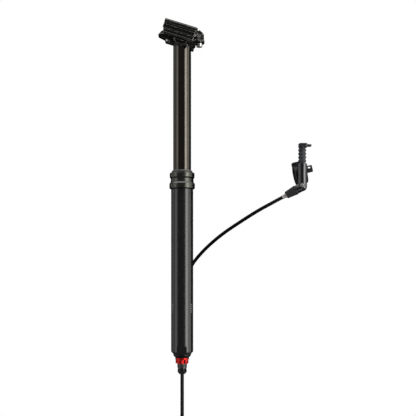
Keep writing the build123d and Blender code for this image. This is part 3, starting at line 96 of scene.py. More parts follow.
class Body(Enum):
    """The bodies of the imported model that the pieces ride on."""

    LOWER = "lower_post"
    UPPER = "upper_post"
    CLAMP = "rail_clamp"
    FRONT_NUT = "front_nut"
    FRONT_BOLT = "front_bolt"
    REAR_NUT = "rear_nut"
    REAR_BOLT = "rear_bolt"
    RELEASE = "release"
    PLUNGER = "plunger"
    ADJUSTER = "adjuster"


class Grain(Enum):
    """How a surface's fine relief is made."""

    SMOOTH = "smooth"
    BLASTED = "blasted"
    TURNED = "turned"
    DRAWN = "drawn"
    MOULDED = "moulded"


class Field:
    """A shader socket that Python's operators work on."""

    def __init__(self, graph: "Graph", socket: bpy.types.NodeSocket) -> None:
        """Keeps the socket and the graph that new nodes go to."""
        self.graph = graph
        self.socket = socket

    def _join(self, operation: str, left: "Value", right: "Value") -> "Field":
        """Adds a Math or Vector Math node for one operation.

        Args:
            operation: The node's operation.
            left: The first value or field.
            right: The second value or field.

        Returns:
            The node's output.
        """
        fields = [side for side in (left, right) if isinstance(side, Field)]
        vectors = any(side.socket.type == "VECTOR" for side in fields)
        kind = "ShaderNodeVectorMath" if vectors else "ShaderNodeMath"
        return self.graph.node(kind, {"operation": operation}, {0: left, 1: right})

    def __add__(self, other: "Value") -> "Field":
        """Adds."""
        return self._join("ADD", self, other)

    __radd__ = __add__

    def __sub__(self, other: "Value") -> "Field":
        """Subtracts."""
        return self._join("SUBTRACT", self, other)

    def __rsub__(self, other: "Value") -> "Field":
        """Subtracts the field."""
        return self._join("SUBTRACT", other, self)

    def __mul__(self, other: "Value") -> "Field":
        """Multiplies."""
        return self._join("MULTIPLY", self, other)

    __rmul__ = __mul__

    def absolute(self) -> "Field":
        """The size of the field without its sign."""
        return self.graph.node("ShaderNodeMath", {"operation": "ABSOLUTE"}, {0: self})

    def wave(self) -> "Field":
        """The sine of the field, moved to between 0 and 1."""
        return self.graph.node("ShaderNodeMath", {"operation": "SINE"}, {0: self}) * 0.5 + 0.5

    def turns(self) -> "Field":
        """A wave from 0 to 1 that has one crest for each whole number."""
        return (self * (2 * math.pi)).wave()

    def rise(self, start: float, end: float) -> "Field":
        """A smooth step from 0 to 1.

        Args:
            start: Where the step starts.
            end: Where it ends, which may be lower than the start for a falling step.

        Returns:
            The step.
        """
        sockets = {"Value": self, "From Min": start, "From Max": end}
        return self.graph.node("ShaderNodeMapRange", {"interpolation_type": "SMOOTHSTEP"}, sockets)


Value = Union[Field, float, Sequence[float]]


class Graph:
    """A node tree of a material or a world, with one way to add any node."""

    def __init__(self, tree: bpy.types.NodeTree) -> None:
        """Empties the tree."""
        self.tree = tree
        tree.nodes.clear()

    def feed(self, socket: bpy.types.NodeSocket, value: Value) -> None:
        """Links a field to a socket, or sets the socket's own value.

        Args:
            socket: The input.
            value: A field, a number or a colour.
        """
        if isinstance(value, Field):
            self.tree.links.new(value.socket, socket)
        elif isinstance(value, (int, float)) and socket.type in {"VECTOR", "RGBA"}:
            socket.default_value = [value] * (3 if socket.type == "VECTOR" else 4)
        elif socket.type == "RGBA" and len(value) == 3:
            socket.default_value = (*value, 1.0)
        else:
            socket.default_value = value

    def node(self, kind: str, settings: dict | None = None, sockets: dict | None = None,
             out: int | str = 0) -> Field:
        """Adds a node.

        Args:
            kind: The node's type.
            settings: Its settings, set before its sockets.
            sockets: Values or fields for its inputs, by name or number.
            out: The number or name of the output to return.

        Returns:
            The output.
        """
        node = self.tree.nodes.new(kind)
        for name, value in (settings or {}).items():
            setattr(node, name, value)
        for name, value in (sockets or {}).items():
            self.feed(node.inputs[name], value)
        return Field(self, node.outputs[out])

    def place(self) -> Field:
        """The object's own coordinates, in metres."""
        return self.node("ShaderNodeTexCoord", out=3)

    def rays(self, kind: str) -> Field:
        """1 for light rays of one kind, such as "Is Camera Ray", and 0 for all others."""
        return self.node("ShaderNodeLightPath", out=kind)

    def parts(self, vector: Field) -> tuple[Field, Field, Field]:
        """The x, y and z of a vector field."""
        split = self.node("ShaderNodeSeparateXYZ", sockets={0: vector})
        return tuple(Field(self, split.socket.node.outputs[index]) for index in range(3))

    def noise(self, vector: Value, size_mm: float, detail: float = 2.0, distortion: float = 0.0) -> Field:
        """Noise with patches of about a given size.

        Args:
            vector: The coordinates.
            size_mm: The patches' size.
            detail: How many finer layers it has.
            distortion: How far the patches are bent.

        Returns:
            The noise, from 0 to 1.
        """
        sockets = {"Vector": vector, "Scale": 1 / (size_mm * MM), "Detail": detail}
        return self.node("ShaderNodeTexNoise", sockets=sockets | {"Distortion": distortion})

    def blend(self, factor: Value, first: Value, second: Value) -> Field:
        """Goes from one colour to another.

        Args:
            factor: 0 for the first colour, 1 for the second.
            first: The first colour.
            second: The second colour.

        Returns:
            The colour.
        """
        return self.node("ShaderNodeMix", {"data_type": "RGBA"}, {0: factor, 6: first, 7: second}, out=2)

    def close(self, surface: Field, output: str = "ShaderNodeOutputMaterial") -> None:
        """Links the surface to the tree's output node."""
        self.tree.links.new(surface.socket, self.tree.nodes.new(output).inputs["Surface"])


@dataclass(frozen=True)
class Finish:
    """A surface finish: its colour, shine, grain and how its edges have worn, with a painted highlight along
    them.
    """

    name: str
    slot: str
    colour: Colour
    roughness: float
    metallic: float = 0.0
    ior: float = 1.5
    coat: float = 0.0
    mottle: float = 0.12
    mottle_mm: float = 7.0
    grain: Grain = Grain.SMOOTH
    grain_mm: float = 0.3
    grain_depth: float = 0.0
    shine_spread: float = 0.05
    wear_and_highlight_colour: Colour = (0.2, 0.2, 0.2)
    wear_and_highlight: float = 0.0

    def relief(self, graph: Graph, place: Field) -> Field:
        """The fine relief of the surface.

        Args:
            graph: The material's graph.
            place: The object's coordinates.

        Returns:
            The height, from 0 to 1.
        """
        if self.grain is Grain.TURNED:
            return (graph.parts(place)[2] * (1 / (self.grain_mm * MM))).turns()
        if self.grain is Grain.DRAWN:
            return graph.noise(place * DRAWN_SCALE, self.grain_mm, 3)
        if self.grain is Grain.MOULDED:
            return graph.noise(place, self.grain_mm * MOULDED_SCALE, 4, 0.6)
        return graph.noise(place, self.grain_mm, 3)

    def marks(self, graph: Graph, place: Field, colour: Field) -> Field:
        """Anything printed or stained on the finish; none by default."""
        return colour

    def material(self) -> bpy.types.Material:
        """The finish as a material, made once.

        Returns:
            The material.
        """
        known = bpy.data.materials.get(self.name)
        if known:
            return known
        material = bpy.data.materials.new(self.name)
        material.use_nodes = True
        graph = Graph(material.node_tree)
        place = graph.place()
        patches = graph.noise(place, self.mottle_mm, 4, 0.4)
        deep = tuple(channel * (1 - self.mottle) for channel in self.colour)
        light = tuple(min(1.0, channel * (1 + self.mottle)) for channel in self.colour)
        colour = graph.blend(patches.rise(*PATCH_EDGES), deep, light)
        shine = patches * (2 * self.shine_spread) + (self.roughness - self.shine_spread)
        # Lighter colour on the rounded edges: wear, and also a painted edge highlight that stands in for
        # light catching them.
        if self.wear_and_highlight:
            edge = graph.node("ShaderNodeAttribute", {"attribute_name": "edge"}, out=2)
            wear_and_highlight_mask = edge * graph.noise(place, WEAR_AND_HIGHLIGHT_MM, 5).rise(*WEAR_AND_HIGHLIGHT_EDGES) * self.wear_and_highlight
            colour = graph.blend(wear_and_highlight_mask, colour, self.wear_and_highlight_colour)
        colour = self.marks(graph, place, colour)
        sockets = {"Base Color": colour, "Roughness": shine, "Metallic": self.metallic, "IOR": self.ior}
        if self.coat:
            sockets |= {"Coat Weight": self.coat, "Coat Roughness": COAT_ROUGHNESS}
        if self.grain_depth:
            height = self.relief(graph, place)
            bump = {"Strength": 1.0, "Distance": self.grain_depth * MM, "Height": height}
            sockets["Normal"] = graph.node("ShaderNodeBump", sockets=bump)
        graph.close(graph.node("ShaderNodeBsdfPrincipled", sockets=sockets))
        return material


@dataclass(frozen=True)
class InsertionCoat(Finish):
    """The lower tube's coat, with a row of printed depth lines in each quarter round it."""

    low: float = -173.0
    high: float = -160.0
    pitch: float = 2.6
    line: float = 0.7
    centre_deg: float = 58.0
    half_deg: float = 7.0
    soft_turn: float = 0.01
    soft_mm: float = 0.2
    strength: float = 0.55
    line_colour: Colour = (0.55, 0.55, 0.53)

    def marks(self, graph: Graph, place: Field, colour: Field) -> Field:
        """Prints the depth lines on the coat.

        Args:
            graph: The material's graph.
            place: The object's coordinates.
            colour: The coat's colour.

        Returns:
            The colour with the lines.
        """
        x, y, z = graph.parts(place)
        spin = graph.node("ShaderNodeMath", {"operation": "ARCTAN2"}, {0: x.absolute(), 1: y.absolute()})
        side = (spin - math.radians(self.centre_deg)).absolute()
        half = math.radians(self.half_deg)
        wide = side.rise(half + self.soft_turn, half - self.soft_turn)
        row = (z * (1 / (self.pitch * MM))).turns().rise(1 - self.line / self.pitch, 1.0)
        bottom = z.rise(self.low * MM, (self.low + self.soft_mm) * MM)
        band = bottom * z.rise(self.high * MM, (self.high - self.soft_mm) * MM)
        return graph.blend(wide * row * band * self.strength, colour, self.line_colour)


@dataclass(frozen=True)
class PaintedHighlightFinish(Finish):
    """A turned finish with one lighter band round it: a painted highlight where light catches the turned
    shape.
    """

    low: float = 0.0
    high: float = 1.0
    soft_mm: float = 0.15
    painted_highlight_colour: Colour = (0.4, 0.4, 0.4)

    def marks(self, graph: Graph, place: Field, colour: Field) -> Field:
        """Colours the band with its painted highlight.

        Args:
            graph: The material's graph.
            place: The object's coordinates.
            colour: The finish's own colour.

        Returns:
            The colour with the band.
        """
        height = graph.parts(place)[2] * (1 / MM)
        bottom = height.rise(self.low - self.soft_mm, self.low + self.soft_mm)
        top = height.rise(self.high + self.soft_mm, self.high - self.soft_mm)
        # The lighter band is a painted highlight, not a colour of the part.
        return graph.blend(bottom * top, colour, self.painted_highlight_colour)


class Finishes:
    """Every finish on the seatpost and its remote."""

    TUBE_COAT = InsertionCoat("Coat_satin_black", "dark_coat", (0.0052, 0.0052, 0.005), 0.22, ior=1.6,
                              mottle=0.2, grain=Grain.BLASTED, grain_mm=0.25, grain_depth=0.0008)
    STANCHION = Finish("Anodised_black_brown", "brown_anodised", (0.078, 0.07, 0.06), 0.11, metallic=1.0,
                       mottle=0.05, grain=Grain.DRAWN, grain_mm=0.3, grain_depth=0.0001, shine_spread=0.01)
    # Its lighter band at 8.1 to 9.6 mm is a painted highlight on the slope that faces up.
    COLLAR = PaintedHighlightFinish("Metal_black_satin", "black_metal", (0.08, 0.082, 0.07), 0.29, metallic=1.0,
                          mottle=0.3, mottle_mm=2.0, grain=Grain.TURNED, grain_mm=0.2, grain_depth=0.001,
                          low=8.1, high=9.6, painted_highlight_colour=(0.22, 0.22, 0.225))
    FOOT = Finish("Metal_black_bright", "black_metal", (0.004, 0.004, 0.004), 0.22, ior=1.35, mottle=0.2,
                  grain=Grain.TURNED, grain_mm=0.2, grain_depth=0.0005)
    # Its near-white edges are a painted edge highlight as much as bare worn metal.
    FORGED = Finish("Forged_black", "forged_black", (0.024, 0.024, 0.022), 0.3, metallic=0.85,
                    mottle=0.3, mottle_mm=3.0, grain=Grain.BLASTED, grain_mm=0.3, grain_depth=0.002,
                    wear_and_highlight_colour=(0.85, 0.84, 0.8), wear_and_highlight=1.0)
    RED = Finish("Anodised_red", "red_anodised", (0.5, 0.008, 0.008), 0.34, metallic=0.9,
                 wear_and_highlight_colour=(1.0, 0.2, 0.18), wear_and_highlight=0.8)
    BRIGHT_STEEL = Finish("Steel_bright", "bright_steel", (0.62, 0.61, 0.58), 0.3, metallic=1.0,
                          grain=Grain.BLASTED, grain_mm=0.4, grain_depth=0.01)
    DARK_STEEL = Finish("Steel_dark", "dark_steel", (0.06, 0.062, 0.06), 0.24, metallic=0.95,
                        wear_and_highlight_colour=(0.35, 0.35, 0.33), wear_and_highlight=0.6)
    SHAFT = Finish("Shaft_hard_chrome", "hard_shaft", (0.55, 0.55, 0.56), 0.1, metallic=1.0)
    ALUMINIUM = Finish("Aluminium_turned", "plain_aluminium", (0.56, 0.52, 0.51), 0.3, metallic=1.0,
                       grain=Grain.TURNED, grain_mm=0.2, grain_depth=0.001)
    BRASS = Finish("Brass_keys", "brass_keys", (0.62, 0.46, 0.2), 0.3, metallic=1.0)
    # Its lighter band at 25.5 to 27 mm is a painted highlight on the wiper's top lip.
    WIPER = PaintedHighlightFinish("Rubber_wiper", "seal_rubber", (0.035, 0.035, 0.033), 0.36, grain=Grain.MOULDED,
                         grain_mm=0.3, grain_depth=0.004, low=25.5, high=27.0, painted_highlight_colour=(0.2, 0.2, 0.19))
    SEAL = Finish("Rubber_seal", "seal_rubber", (0.045, 0.045, 0.043), 0.42, grain=Grain.MOULDED,
                  grain_mm=0.3, grain_depth=0.006)
    BOOT = Finish("Rubber_boot", "boot_rubber", (0.03, 0.032, 0.038), 0.4, grain=Grain.MOULDED,
                  grain_mm=0.4, grain_depth=0.006, mottle=0.25)
    BUSHING = Finish("Plastic_bushing", "bushing_plastic", (0.3, 0.29, 0.26), 0.5, grain=Grain.MOULDED,
                     grain_mm=0.4, grain_depth=0.01)
    GLOSS = Finish("Gloss_black_lacquer", "black_gloss", (0.006, 0.006, 0.009), 0.1, coat=1.0,
                   grain=Grain.MOULDED, grain_mm=0.5, grain_depth=0.002, mottle=0.1)
    HOSE = Finish("Hose_jacket", "hose_jacket", (0.0015, 0.0015, 0.0016), 0.26, ior=1.27, grain=Grain.DRAWN,
                  grain_mm=0.4, grain_depth=0.0005)
    NYLON = Finish("Nylon_black", "black_nylon", (0.014, 0.014, 0.016), 0.36, grain=Grain.MOULDED,
                   grain_mm=0.35, grain_depth=0.004, wear_and_highlight_colour=(0.08, 0.08, 0.085), wear_and_highlight=0.4)


def placed(name: str, data: bpy.types.ID) -> bpy.types.Object:
    """Makes an object and links it to the scene."""
    obj = bpy.data.objects.new(name, data)
    bpy.context.scene.collection.objects.link(obj)
    return obj


def poured(shape: bmesh.types.BMesh, name: str) -> bpy.types.Mesh:
    """Turns a shape that was being edited into a mesh, and frees it."""
    mesh = bpy.data.meshes.new(name)
    shape.to_mesh(mesh)
    shape.free()
    return mesh


def applied(helper: bpy.types.Object) -> bpy.types.Mesh:
    """The plain mesh that a helper's modifiers make, after which the helper is removed."""
    ready = helper.evaluated_get(bpy.context.evaluated_depsgraph_get())
    mesh = bpy.data.meshes.new_from_object(ready)
    bpy.data.objects.remove(helper)
    return mesh


def eased(corners: Sequence[Corner]) -> list[tuple[float, float]]:
    """Rounds the corners of a closed outline.

    Args:
        corners: Its corners as radius, height and how much each is rounded.

    Returns:
        The outline's points.
    """
    points: list[tuple[float, float]] = []
    for index, (radius, height, ease) in enumerate(corners):
        here = Vector((radius, height))
        if not ease:
            points.append((radius, height))
            continue
        before = Vector(corners[index - 1][:2]) - here
        after = Vector(corners[(index + 1) % len(corners)][:2]) - here
        half = before.angle(after) / 2
        reach = min(ease / math.tan(half), before.length * EASE_MOST, after.length * EASE_MOST)
        start, end = here + before.normalized() * reach, here + after.normalized() * reach
        for step in range(EASE_RUNS + 1):
            share = step / EASE_RUNS
            bend = start * (1 - share) ** 2 + here * (2 * share * (1 - share)) + end * share**2
            points.append((bend.x, bend.y))
    return points


def smoothed(mesh: bpy.types.Mesh, angle_deg: float = 30.0) -> bpy.types.Mesh:
    """Shades a mesh smooth, except over its sharp edges."""
    mesh.shade_smooth()
    mesh.set_sharp_from_angle(angle=math.radians(angle_deg))
    return mesh


def axis_frame(base: Point, way: Sequence[float]) -> Matrix:
    """A frame whose Z runs along a given way.

    Args:
        base: Its origin, in millimetres.
        way: The direction of its Z.

    Returns:
        The frame, which also turns millimetres into metres.
    """
    turn = Vector(way).to_track_quat("Z", "Y").to_matrix().to_4x4()
    return Matrix.Scale(MM, 4) @ Matrix.Translation(base) @ turn


POST_AXIS = axis_frame((0, 0, 0), (0, 0, 1))


def turned(corners: Sequence[Corner], segments: int, at: Matrix = POST_AXIS,
           change: Callable[[Vector], Vector] | None = None) -> bpy.types.Mesh:
    """A mesh turned about an axis from its half section.

    Args:
        corners: The section's corners as radius, height and rounding.
        segments: How many sides the turned piece has.
        at: The axis's frame.
        change: A change of each point before it is placed, such as a flat cut on it.

    Returns:
        The mesh.
    """
    shape = bmesh.new()
    rings = []
    for radius, height in eased(corners):
        count = segments if radius > ON_AXIS else 1
        turns = [2 * math.pi * step / segments for step in range(count)]
        spots = [Vector((radius * math.cos(turn), radius * math.sin(turn), height)) for turn in turns]
        rings.append([shape.verts.new(change(spot) if change else spot) for spot in spots])
    for index, ring in enumerate(rings):
        other = rings[(index + 1) % len(rings)]
        if len(ring) == 1 and len(other) == 1:
            continue
        for step in range(segments):
            step_on = (step + 1) % segments
            loop = [ring[step % len(ring)], ring[step_on % len(ring)]]
            loop += [other[step_on % len(other)], other[step % len(other)]]
            shape.faces.new(list(dict.fromkeys(loop)))
    bmesh.ops.recalc_face_normals(shape, faces=shape.faces)
    shape.transform(at)
    return smoothed(poured(shape, "turned"))


def merged(node: str) -> bmesh.types.BMesh:
    """A copy of a CAD node's shape with its split points joined."""
    shape = bmesh.new()
    shape.from_mesh(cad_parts[node].data)
    bmesh.ops.remove_doubles(shape, verts=shape.verts, dist=JOIN_GAP)
    return shape


def bevelled(mesh: bpy.types.Mesh, solid: BVHTree, width: float, limit: str) -> bpy.types.Mesh:
    """A copy of a mesh with rounded edges, all of it within the solid or on its surface.

    Args:
        mesh: The mesh, with two empty material slots and its edges' weights.
        solid: Its surface, for finding the nearest place on it.
        width: How much an edge is rounded, in metres.
        limit: "ANGLE" rounds all edges alike, and "WEIGHT" rounds short ones less.

    Returns:
        The copy, whose rounded edges have the second material.
    """
    helper = placed("helper", mesh)
    bevel = helper.modifiers.new("edges", "BEVEL")
    bevel.width, bevel.segments, bevel.limit_method = width, EDGE_RUNS, limit
    bevel.angle_limit, bevel.use_clamp_overlap, bevel.material = math.radians(EDGE_DEG), False, 1
    helper.modifiers.new("normals", "WEIGHTED_NORMAL").weight = FLAT_NORMAL_WEIGHT
    result = applied(helper)
    for vertex in result.vertices:
        spot, outwards, _, gap = solid.find_nearest(vertex.co)
        if gap > width / 2 or (vertex.co - spot).dot(outwards) > SURFACE_GAP:
            vertex.co = spot
    return result


def strays(mesh: bpy.types.Mesh, solid: BVHTree, room: float) -> int:
    """Counts the triangles of a mesh whose middle is not within some room of a solid's surface."""
    mesh.calc_loop_triangles()
    middles = [sum((mesh.vertices[index].co for index in triangle.vertices), Vector()) / 3
               for triangle in mesh.loop_triangles]
    return sum(solid.find_nearest(middle)[3] > room for middle in middles)


def softened(node: str, width: float) -> bpy.types.Mesh:
    """A copy of a CAD node with its edges rounded and its rounded edges marked for wear and a painted edge
    highlight.

    Args:
        node: The node's name.
        width: How much its edges are rounded, in millimetres; less where the shape has no room for it.

    Returns:
        The mesh, with an "edge" attribute that is 1 on the rounded edges.
    """
    shape = merged(node)
    bmesh.ops.dissolve_limit(shape, angle_limit=math.radians(FLAT_DEG), verts=shape.verts, edges=shape.edges)
    bmesh.ops.recalc_face_normals(shape, faces=shape.faces)
    solid = BVHTree.FromBMesh(shape)
    weight = shape.edges.layers.float.new("bevel_weight_edge")
    for edge in shape.edges:
        if len(edge.link_faces) == 2 and edge.calc_face_angle() > math.radians(EDGE_DEG):
            edge[weight] = min(1.0, edge.calc_length() / (FULL_EDGE_LENGTH * width * MM))
    mesh = poured(shape, node + "_raw")
    mesh.materials.clear()
    mesh.materials.append(None)
    mesh.materials.append(None)
    for polygon in mesh.polygons:
        polygon.material_index = 0
    mesh.shade_smooth()
    for share, limit in product(EDGE_SHARES, ("ANGLE", "WEIGHT")):
        result = bevelled(mesh, solid, width * share * MM, limit)
        missed = strays(result, solid, SURFACE_ROOM + width * share * MM * EDGE_ROOM)
        if not missed:
            break
    log.info("%s has edges of %.2f mm, with %d faces off its surface", node, width * share, missed)
    # The rounded edges get the worn colour, which is also a painted highlight.
    on_bevel = [polygon.material_index == 1 for polygon in result.polygons]
    flat = {vertex for polygon, is_edge in zip(result.polygons, on_bevel) if not is_edge
            for vertex in polygon.vertices}
    edge = result.attributes.new("edge", "FLOAT", "CORNER")
    for polygon, is_edge in zip(result.polygons, on_bevel):
        polygon.material_index = 0
        for corner in polygon.loop_indices:
            beside_flat = result.loops[corner].vertex_index in flat
            edge.data[corner].value = is_edge * (RIM_WEAR_AND_HIGHLIGHT if beside_flat else 1.0)
    result.materials.clear()
    return result


def piece(name: str, mesh: bpy.types.ID, finish: Finish, body: Body, *nodes: str) -> bpy.types.Object:
    """Puts a finished piece in the scene.

    Args:
        name: Its name.
        mesh: Its mesh or curve, already in place.
        finish: Its finish.
        body: The body it rides on.
        nodes: The CAD nodes that it stands for.

    Returns:
        The piece.
    """
    obj = placed(name, mesh)
    obj.data.materials.clear()
    obj.data.materials.append(finish.material())
    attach(obj, body.value)
    if nodes:
        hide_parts(*nodes)
    log.info("%s stands for %s", name, ", ".join(nodes) or "no node of its own")
    return obj


def dressed(node: str, mesh: bpy.types.Mesh, finish: Finish, body: Body, name: str = "") -> bpy.types.Object:
    """Puts the finished piece for one CAD node in the scene, named for the node or by a shorter name."""
    return piece(f"{name or node}_dressed", mesh, finish, body, node)


def rounded(node: str, edge: float, finish: Finish, body: Body, name: str = "") -> bpy.types.Object:
    """Puts a CAD node's own shape, with its edges rounded, in the scene as its finished piece."""
    return dressed(node, softened(node, edge), finish, body, name)


class Repeats:
    """Round ribs repeated round an axis or along a row by Geometry Nodes."""

    def __init__(self, name: str, finish: Finish, sizes: dict[str, float | int]) -> None:
        """Starts the tree, with an input for each size.

        Args:
            name: The tree's name.
            finish: The ribs' finish.
            sizes: "Count", "Reach", "Rib radius" and "Rib length", with the lengths in millimetres.
        """
        self.tree = bpy.data.node_groups.new(name, "GeometryNodeTree")
        self.finish = finish
        self.values: dict[str, float | int] = {}
        self.tree.interface.new_socket("Geometry", in_out="OUTPUT", socket_type="NodeSocketGeometry")
        for size, value in sizes.items():
            whole = isinstance(value, int)
            kind = "NodeSocketInt" if whole else "NodeSocketFloat"
            socket = self.tree.interface.new_socket(size, in_out="INPUT", socket_type=kind)
            self.values[socket.identifier] = value if whole else value * MM
        self.entry = self.tree.nodes.new("NodeGroupInput")

    def size(self, name: str) -> bpy.types.NodeSocket:
        """The input of a given name, inside the tree."""
        return self.entry.outputs[name]

    def add(self, kind: str, sockets: dict) -> bpy.types.NodeSocket:
        """Adds a node.

        Args:
            kind: The node's type.
            sockets: Values, or outputs of other nodes, for its inputs.

        Returns:
            Its first output.
        """
        node = self.tree.nodes.new(kind)
        for name, value in sockets.items():
            if isinstance(value, bpy.types.NodeSocket):
                self.tree.links.new(value, node.inputs[name])
            else:
                node.inputs[name].default_value = value
        return node.outputs[0]

    def rib(self, sides: int) -> bpy.types.NodeSocket:
        """One upright rib."""
        sockets = {"Vertices": sides, "Radius": self.size("Rib radius"), "Depth": self.size("Rib length")}
        return self.add("GeometryNodeMeshCylinder", sockets)

    def ring(self, at: Matrix) -> bpy.types.Mesh:
        """Upright ribs evenly round the frame's Z, with their centres as far out as their reach.

        Args:
            at: The axis's frame, with its origin at the ribs' middle.

        Returns:
            The ribs as one mesh.
        """
        sockets = {"Vertices": self.size("Count"), "Radius": self.size("Reach")}
        return self.mesh(self.add("GeometryNodeMeshCircle", sockets), self.rib(10), at)

    def row(self, at: Matrix) -> bpy.types.Mesh:
        """Ribs that lie along the frame's Y, one reach apart along its X.

        Args:
            at: The row's frame, with its origin at the first rib.

        Returns:
            The ribs as one mesh.
        """
        step = self.add("ShaderNodeCombineXYZ", {"X": self.size("Reach")})
        line = self.add("GeometryNodeMeshLine", {"Count": self.size("Count"), "Offset": step})
        lying = self.add("GeometryNodeTransform", {"Geometry": self.rib(12), "Rotation": (math.pi / 2, 0, 0)})
        return self.mesh(line, lying, at)

    def mesh(self, points: bpy.types.NodeSocket, rib: bpy.types.NodeSocket, at: Matrix) -> bpy.types.Mesh:
        """Puts a rib on each point and turns the result into a plain mesh.

        Args:
            points: The points.
            rib: The rib.
            at: Where the result goes.

        Returns:
            The mesh, in metres.
        """
        spread = self.add("GeometryNodeInstanceOnPoints", {"Points": points, "Instance": rib})
        real = self.add("GeometryNodeRealizeInstances", {0: spread})
        ready = self.add("GeometryNodeSetMaterial", {0: real, "Material": self.finish.material()})
        self.tree.links.new(ready, self.tree.nodes.new("NodeGroupOutput").inputs[0])
        helper = placed(self.tree.name, bpy.data.meshes.new(self.tree.name))
        modifier = helper.modifiers.new("repeats", "NODES")
        modifier.node_group = self.tree
        for identifier, value in self.values.items():
            modifier[identifier] = value
        result = applied(helper)
        result.transform(at)
        return smoothed(result, 40.0)


@dataclass(frozen=True)
class Lamp:
    """An upright softbox.

    Its azimuth goes from the camera's side towards the right of the picture, its spread is how wide it
    looks from the post, and its radiance is how bright its face is.
    """

    name: str
    azimuth_deg: float
    spread_deg: float
    radiance: float
    tint: Colour


@dataclass
class Studio:
    """The camera, the lamps, the world and the floor."""

    camera_at: Point = (36.2, -1000.0, -94.5)
    lens: float = 61.8
    sensor: float = 36.0
    shift_up: float = 0.1178
    aim: Point = (0.0, 0.0, -60.0)
    lamp_distance: float = 1400.0
    lamp_height: float = 1700.0
    lamps: tuple[Lamp, ...] = (
        Lamp("key_right", 50.0, 26.0, 4.6, (1.0, 0.995, 0.98)),
        Lamp("side_right", 84.0, 40.0, 1.55, (1.0, 1.0, 0.985)),
        Lamp("side_left", -64.0, 28.0, 1.2, (0.99, 0.995, 1.0)),
        Lamp("fill_left", -90.0, 22.0, 0.4, (0.99, 0.995, 1.0)),
        Lamp("rim_left", -110.0, 14.0, 1.0, (0.99, 0.995, 1.0)))
    wall_edge: Span = (0.97, 0.995)
    wall_light: float = 0.08
    front_edge: Span = (0.1, -0.6)
    front_light: float = 0.12
    top_edge: Span = (0.5, 0.85)
    least_light: float = 0.006
    matt_light: float = 0.2
    floor_z: float = -430.0
    floor_r: float = 440.0
    floor_clear: float = 300.0
    floor_fade_end: float = 430.0
    floor_grey: float = 0.9
    floor_grain: float = 0.02
    floor_grain_mm: float = 40.0
    floor_lift: float = 0.62
    floor_gloss_dim: float = 0.7

    def place_camera(self) -> None:
        """Sets up the camera at the photograph's viewpoint."""
        data = bpy.data.cameras.new("camera")
        data.lens, data.sensor_width, data.shift_y = self.lens, self.sensor, self.shift_up
        data.dof.use_dof = False
        camera = placed("camera", data)
        camera.location = Vector(self.camera_at) * MM
        camera.rotation_euler = (math.pi / 2, 0, 0)
        bpy.context.scene.camera = camera

    def hang(self, lamp: Lamp) -> None:
        """Adds a lamp that faces the post.

        Args:
            lamp: The lamp.
        """
        turn = math.radians(lamp.azimuth_deg)
        away = Vector((math.sin(turn), -math.cos(turn), 0.0)) * self.lamp_distance * MM
        width = 2 * self.lamp_distance * MM * math.tan(math.radians(lamp.spread_deg) / 2)
        data = bpy.data.lights.new(lamp.name, "AREA")
        data.shape, data.size, data.size_y = "RECTANGLE", width, self.lamp_height * MM
        data.energy, data.color = lamp.radiance * math.pi * width * data.size_y, lamp.tint
        box = placed(lamp.name, data)
        box.location = Vector(self.aim) * MM + away
        box.rotation_euler = (-away).to_track_quat("-Z", "Y").to_euler()
        box.visible_camera = False

    def light_world(self) -> None:
        """Lights the world: white for the camera, and dark in reflections.

        Reflections also find a white ceiling, a faint wall behind the post and a faint front.
        """
        world = bpy.data.worlds.new("studio")
        bpy.context.scene.world = world
        world.use_nodes = True
        graph = Graph(world.node_tree)
        seen = graph.rays("Is Camera Ray") + graph.rays("Is Transmission Ray")
        gloss = graph.rays("Is Glossy Ray")
        _, y, z = graph.parts(graph.node("ShaderNodeTexCoord", out=0))
        wall = y.rise(*self.wall_edge) * self.wall_light
        front = y.rise(*self.front_edge) * self.front_light
        mirrored = wall + front + z.rise(*self.top_edge) + self.least_light
        dim = gloss * mirrored + (1 - gloss) * self.matt_light
        level = graph.node("ShaderNodeMath", {"operation": "MAXIMUM", "use_clamp": True}, {0: seen, 1: dim})
        sockets = {"Color": (1.0, 1.0, 1.0), "Strength": level}
        graph.close(graph.node("ShaderNodeBackground", sockets=sockets), "ShaderNodeOutputWorld")

    def floor_material(self) -> bpy.types.Material:
        """Pale paper, lighter for the camera, darker in reflections and clear towards the floor's edge.

        Returns:
            The material.
        """
        material = bpy.data.materials.new("Floor_pale")
        material.use_nodes = True
        graph = Graph(material.node_tree)
        place = graph.place()
        x, y, _ = graph.parts(place)
        far = graph.node("ShaderNodeMath", {"operation": "SQRT"}, {0: x * x + y * y})
        paper = graph.noise(place, self.floor_grain_mm, 3) * self.floor_grain + self.floor_grey
        tone = graph.blend(paper, (0.0, 0.0, 0.0), (1.0, 1.0, 1.0))
        tone = graph.blend(graph.rays("Is Glossy Ray") * self.floor_gloss_dim, tone, (0.0, 0.0, 0.0))
        matt = graph.node("ShaderNodeBsdfDiffuse", sockets={"Color": tone})
        glow = {"Strength": graph.rays("Is Camera Ray") * self.floor_lift}
        lift = graph.node("ShaderNodeEmission", sockets=glow)
        matt = graph.node("ShaderNodeAddShader", sockets={0: matt, 1: lift})
        clear = graph.node("ShaderNodeBsdfTransparent")
        fade = far.rise(self.floor_clear * MM, self.floor_fade_end * MM)
        graph.close(graph.node("ShaderNodeMixShader", sockets={0: fade, 1: matt, 2: clear}))
        return material

    def lay_floor(self) -> None:
        """Lays a pale round floor that fades out before it comes into the camera's view."""
        shape = bmesh.new()
        bmesh.ops.create_circle(shape, cap_ends=True, segments=96, radius=self.floor_r * MM)
        mesh = poured(shape, "floor")
        mesh.transform(Matrix.Translation((0, 0, self.floor_z * MM)))
        floor = placed("floor", mesh)
        mesh.materials.append(self.floor_material())

    def build(self) -> None:
        """Sets up the whole studio."""
        bpy.context.scene.view_settings.view_transform = "Standard"
        self.place_camera()
        for lamp in self.lamps:
            self.hang(lamp)
        self.light_world()
        self.lay_floor()


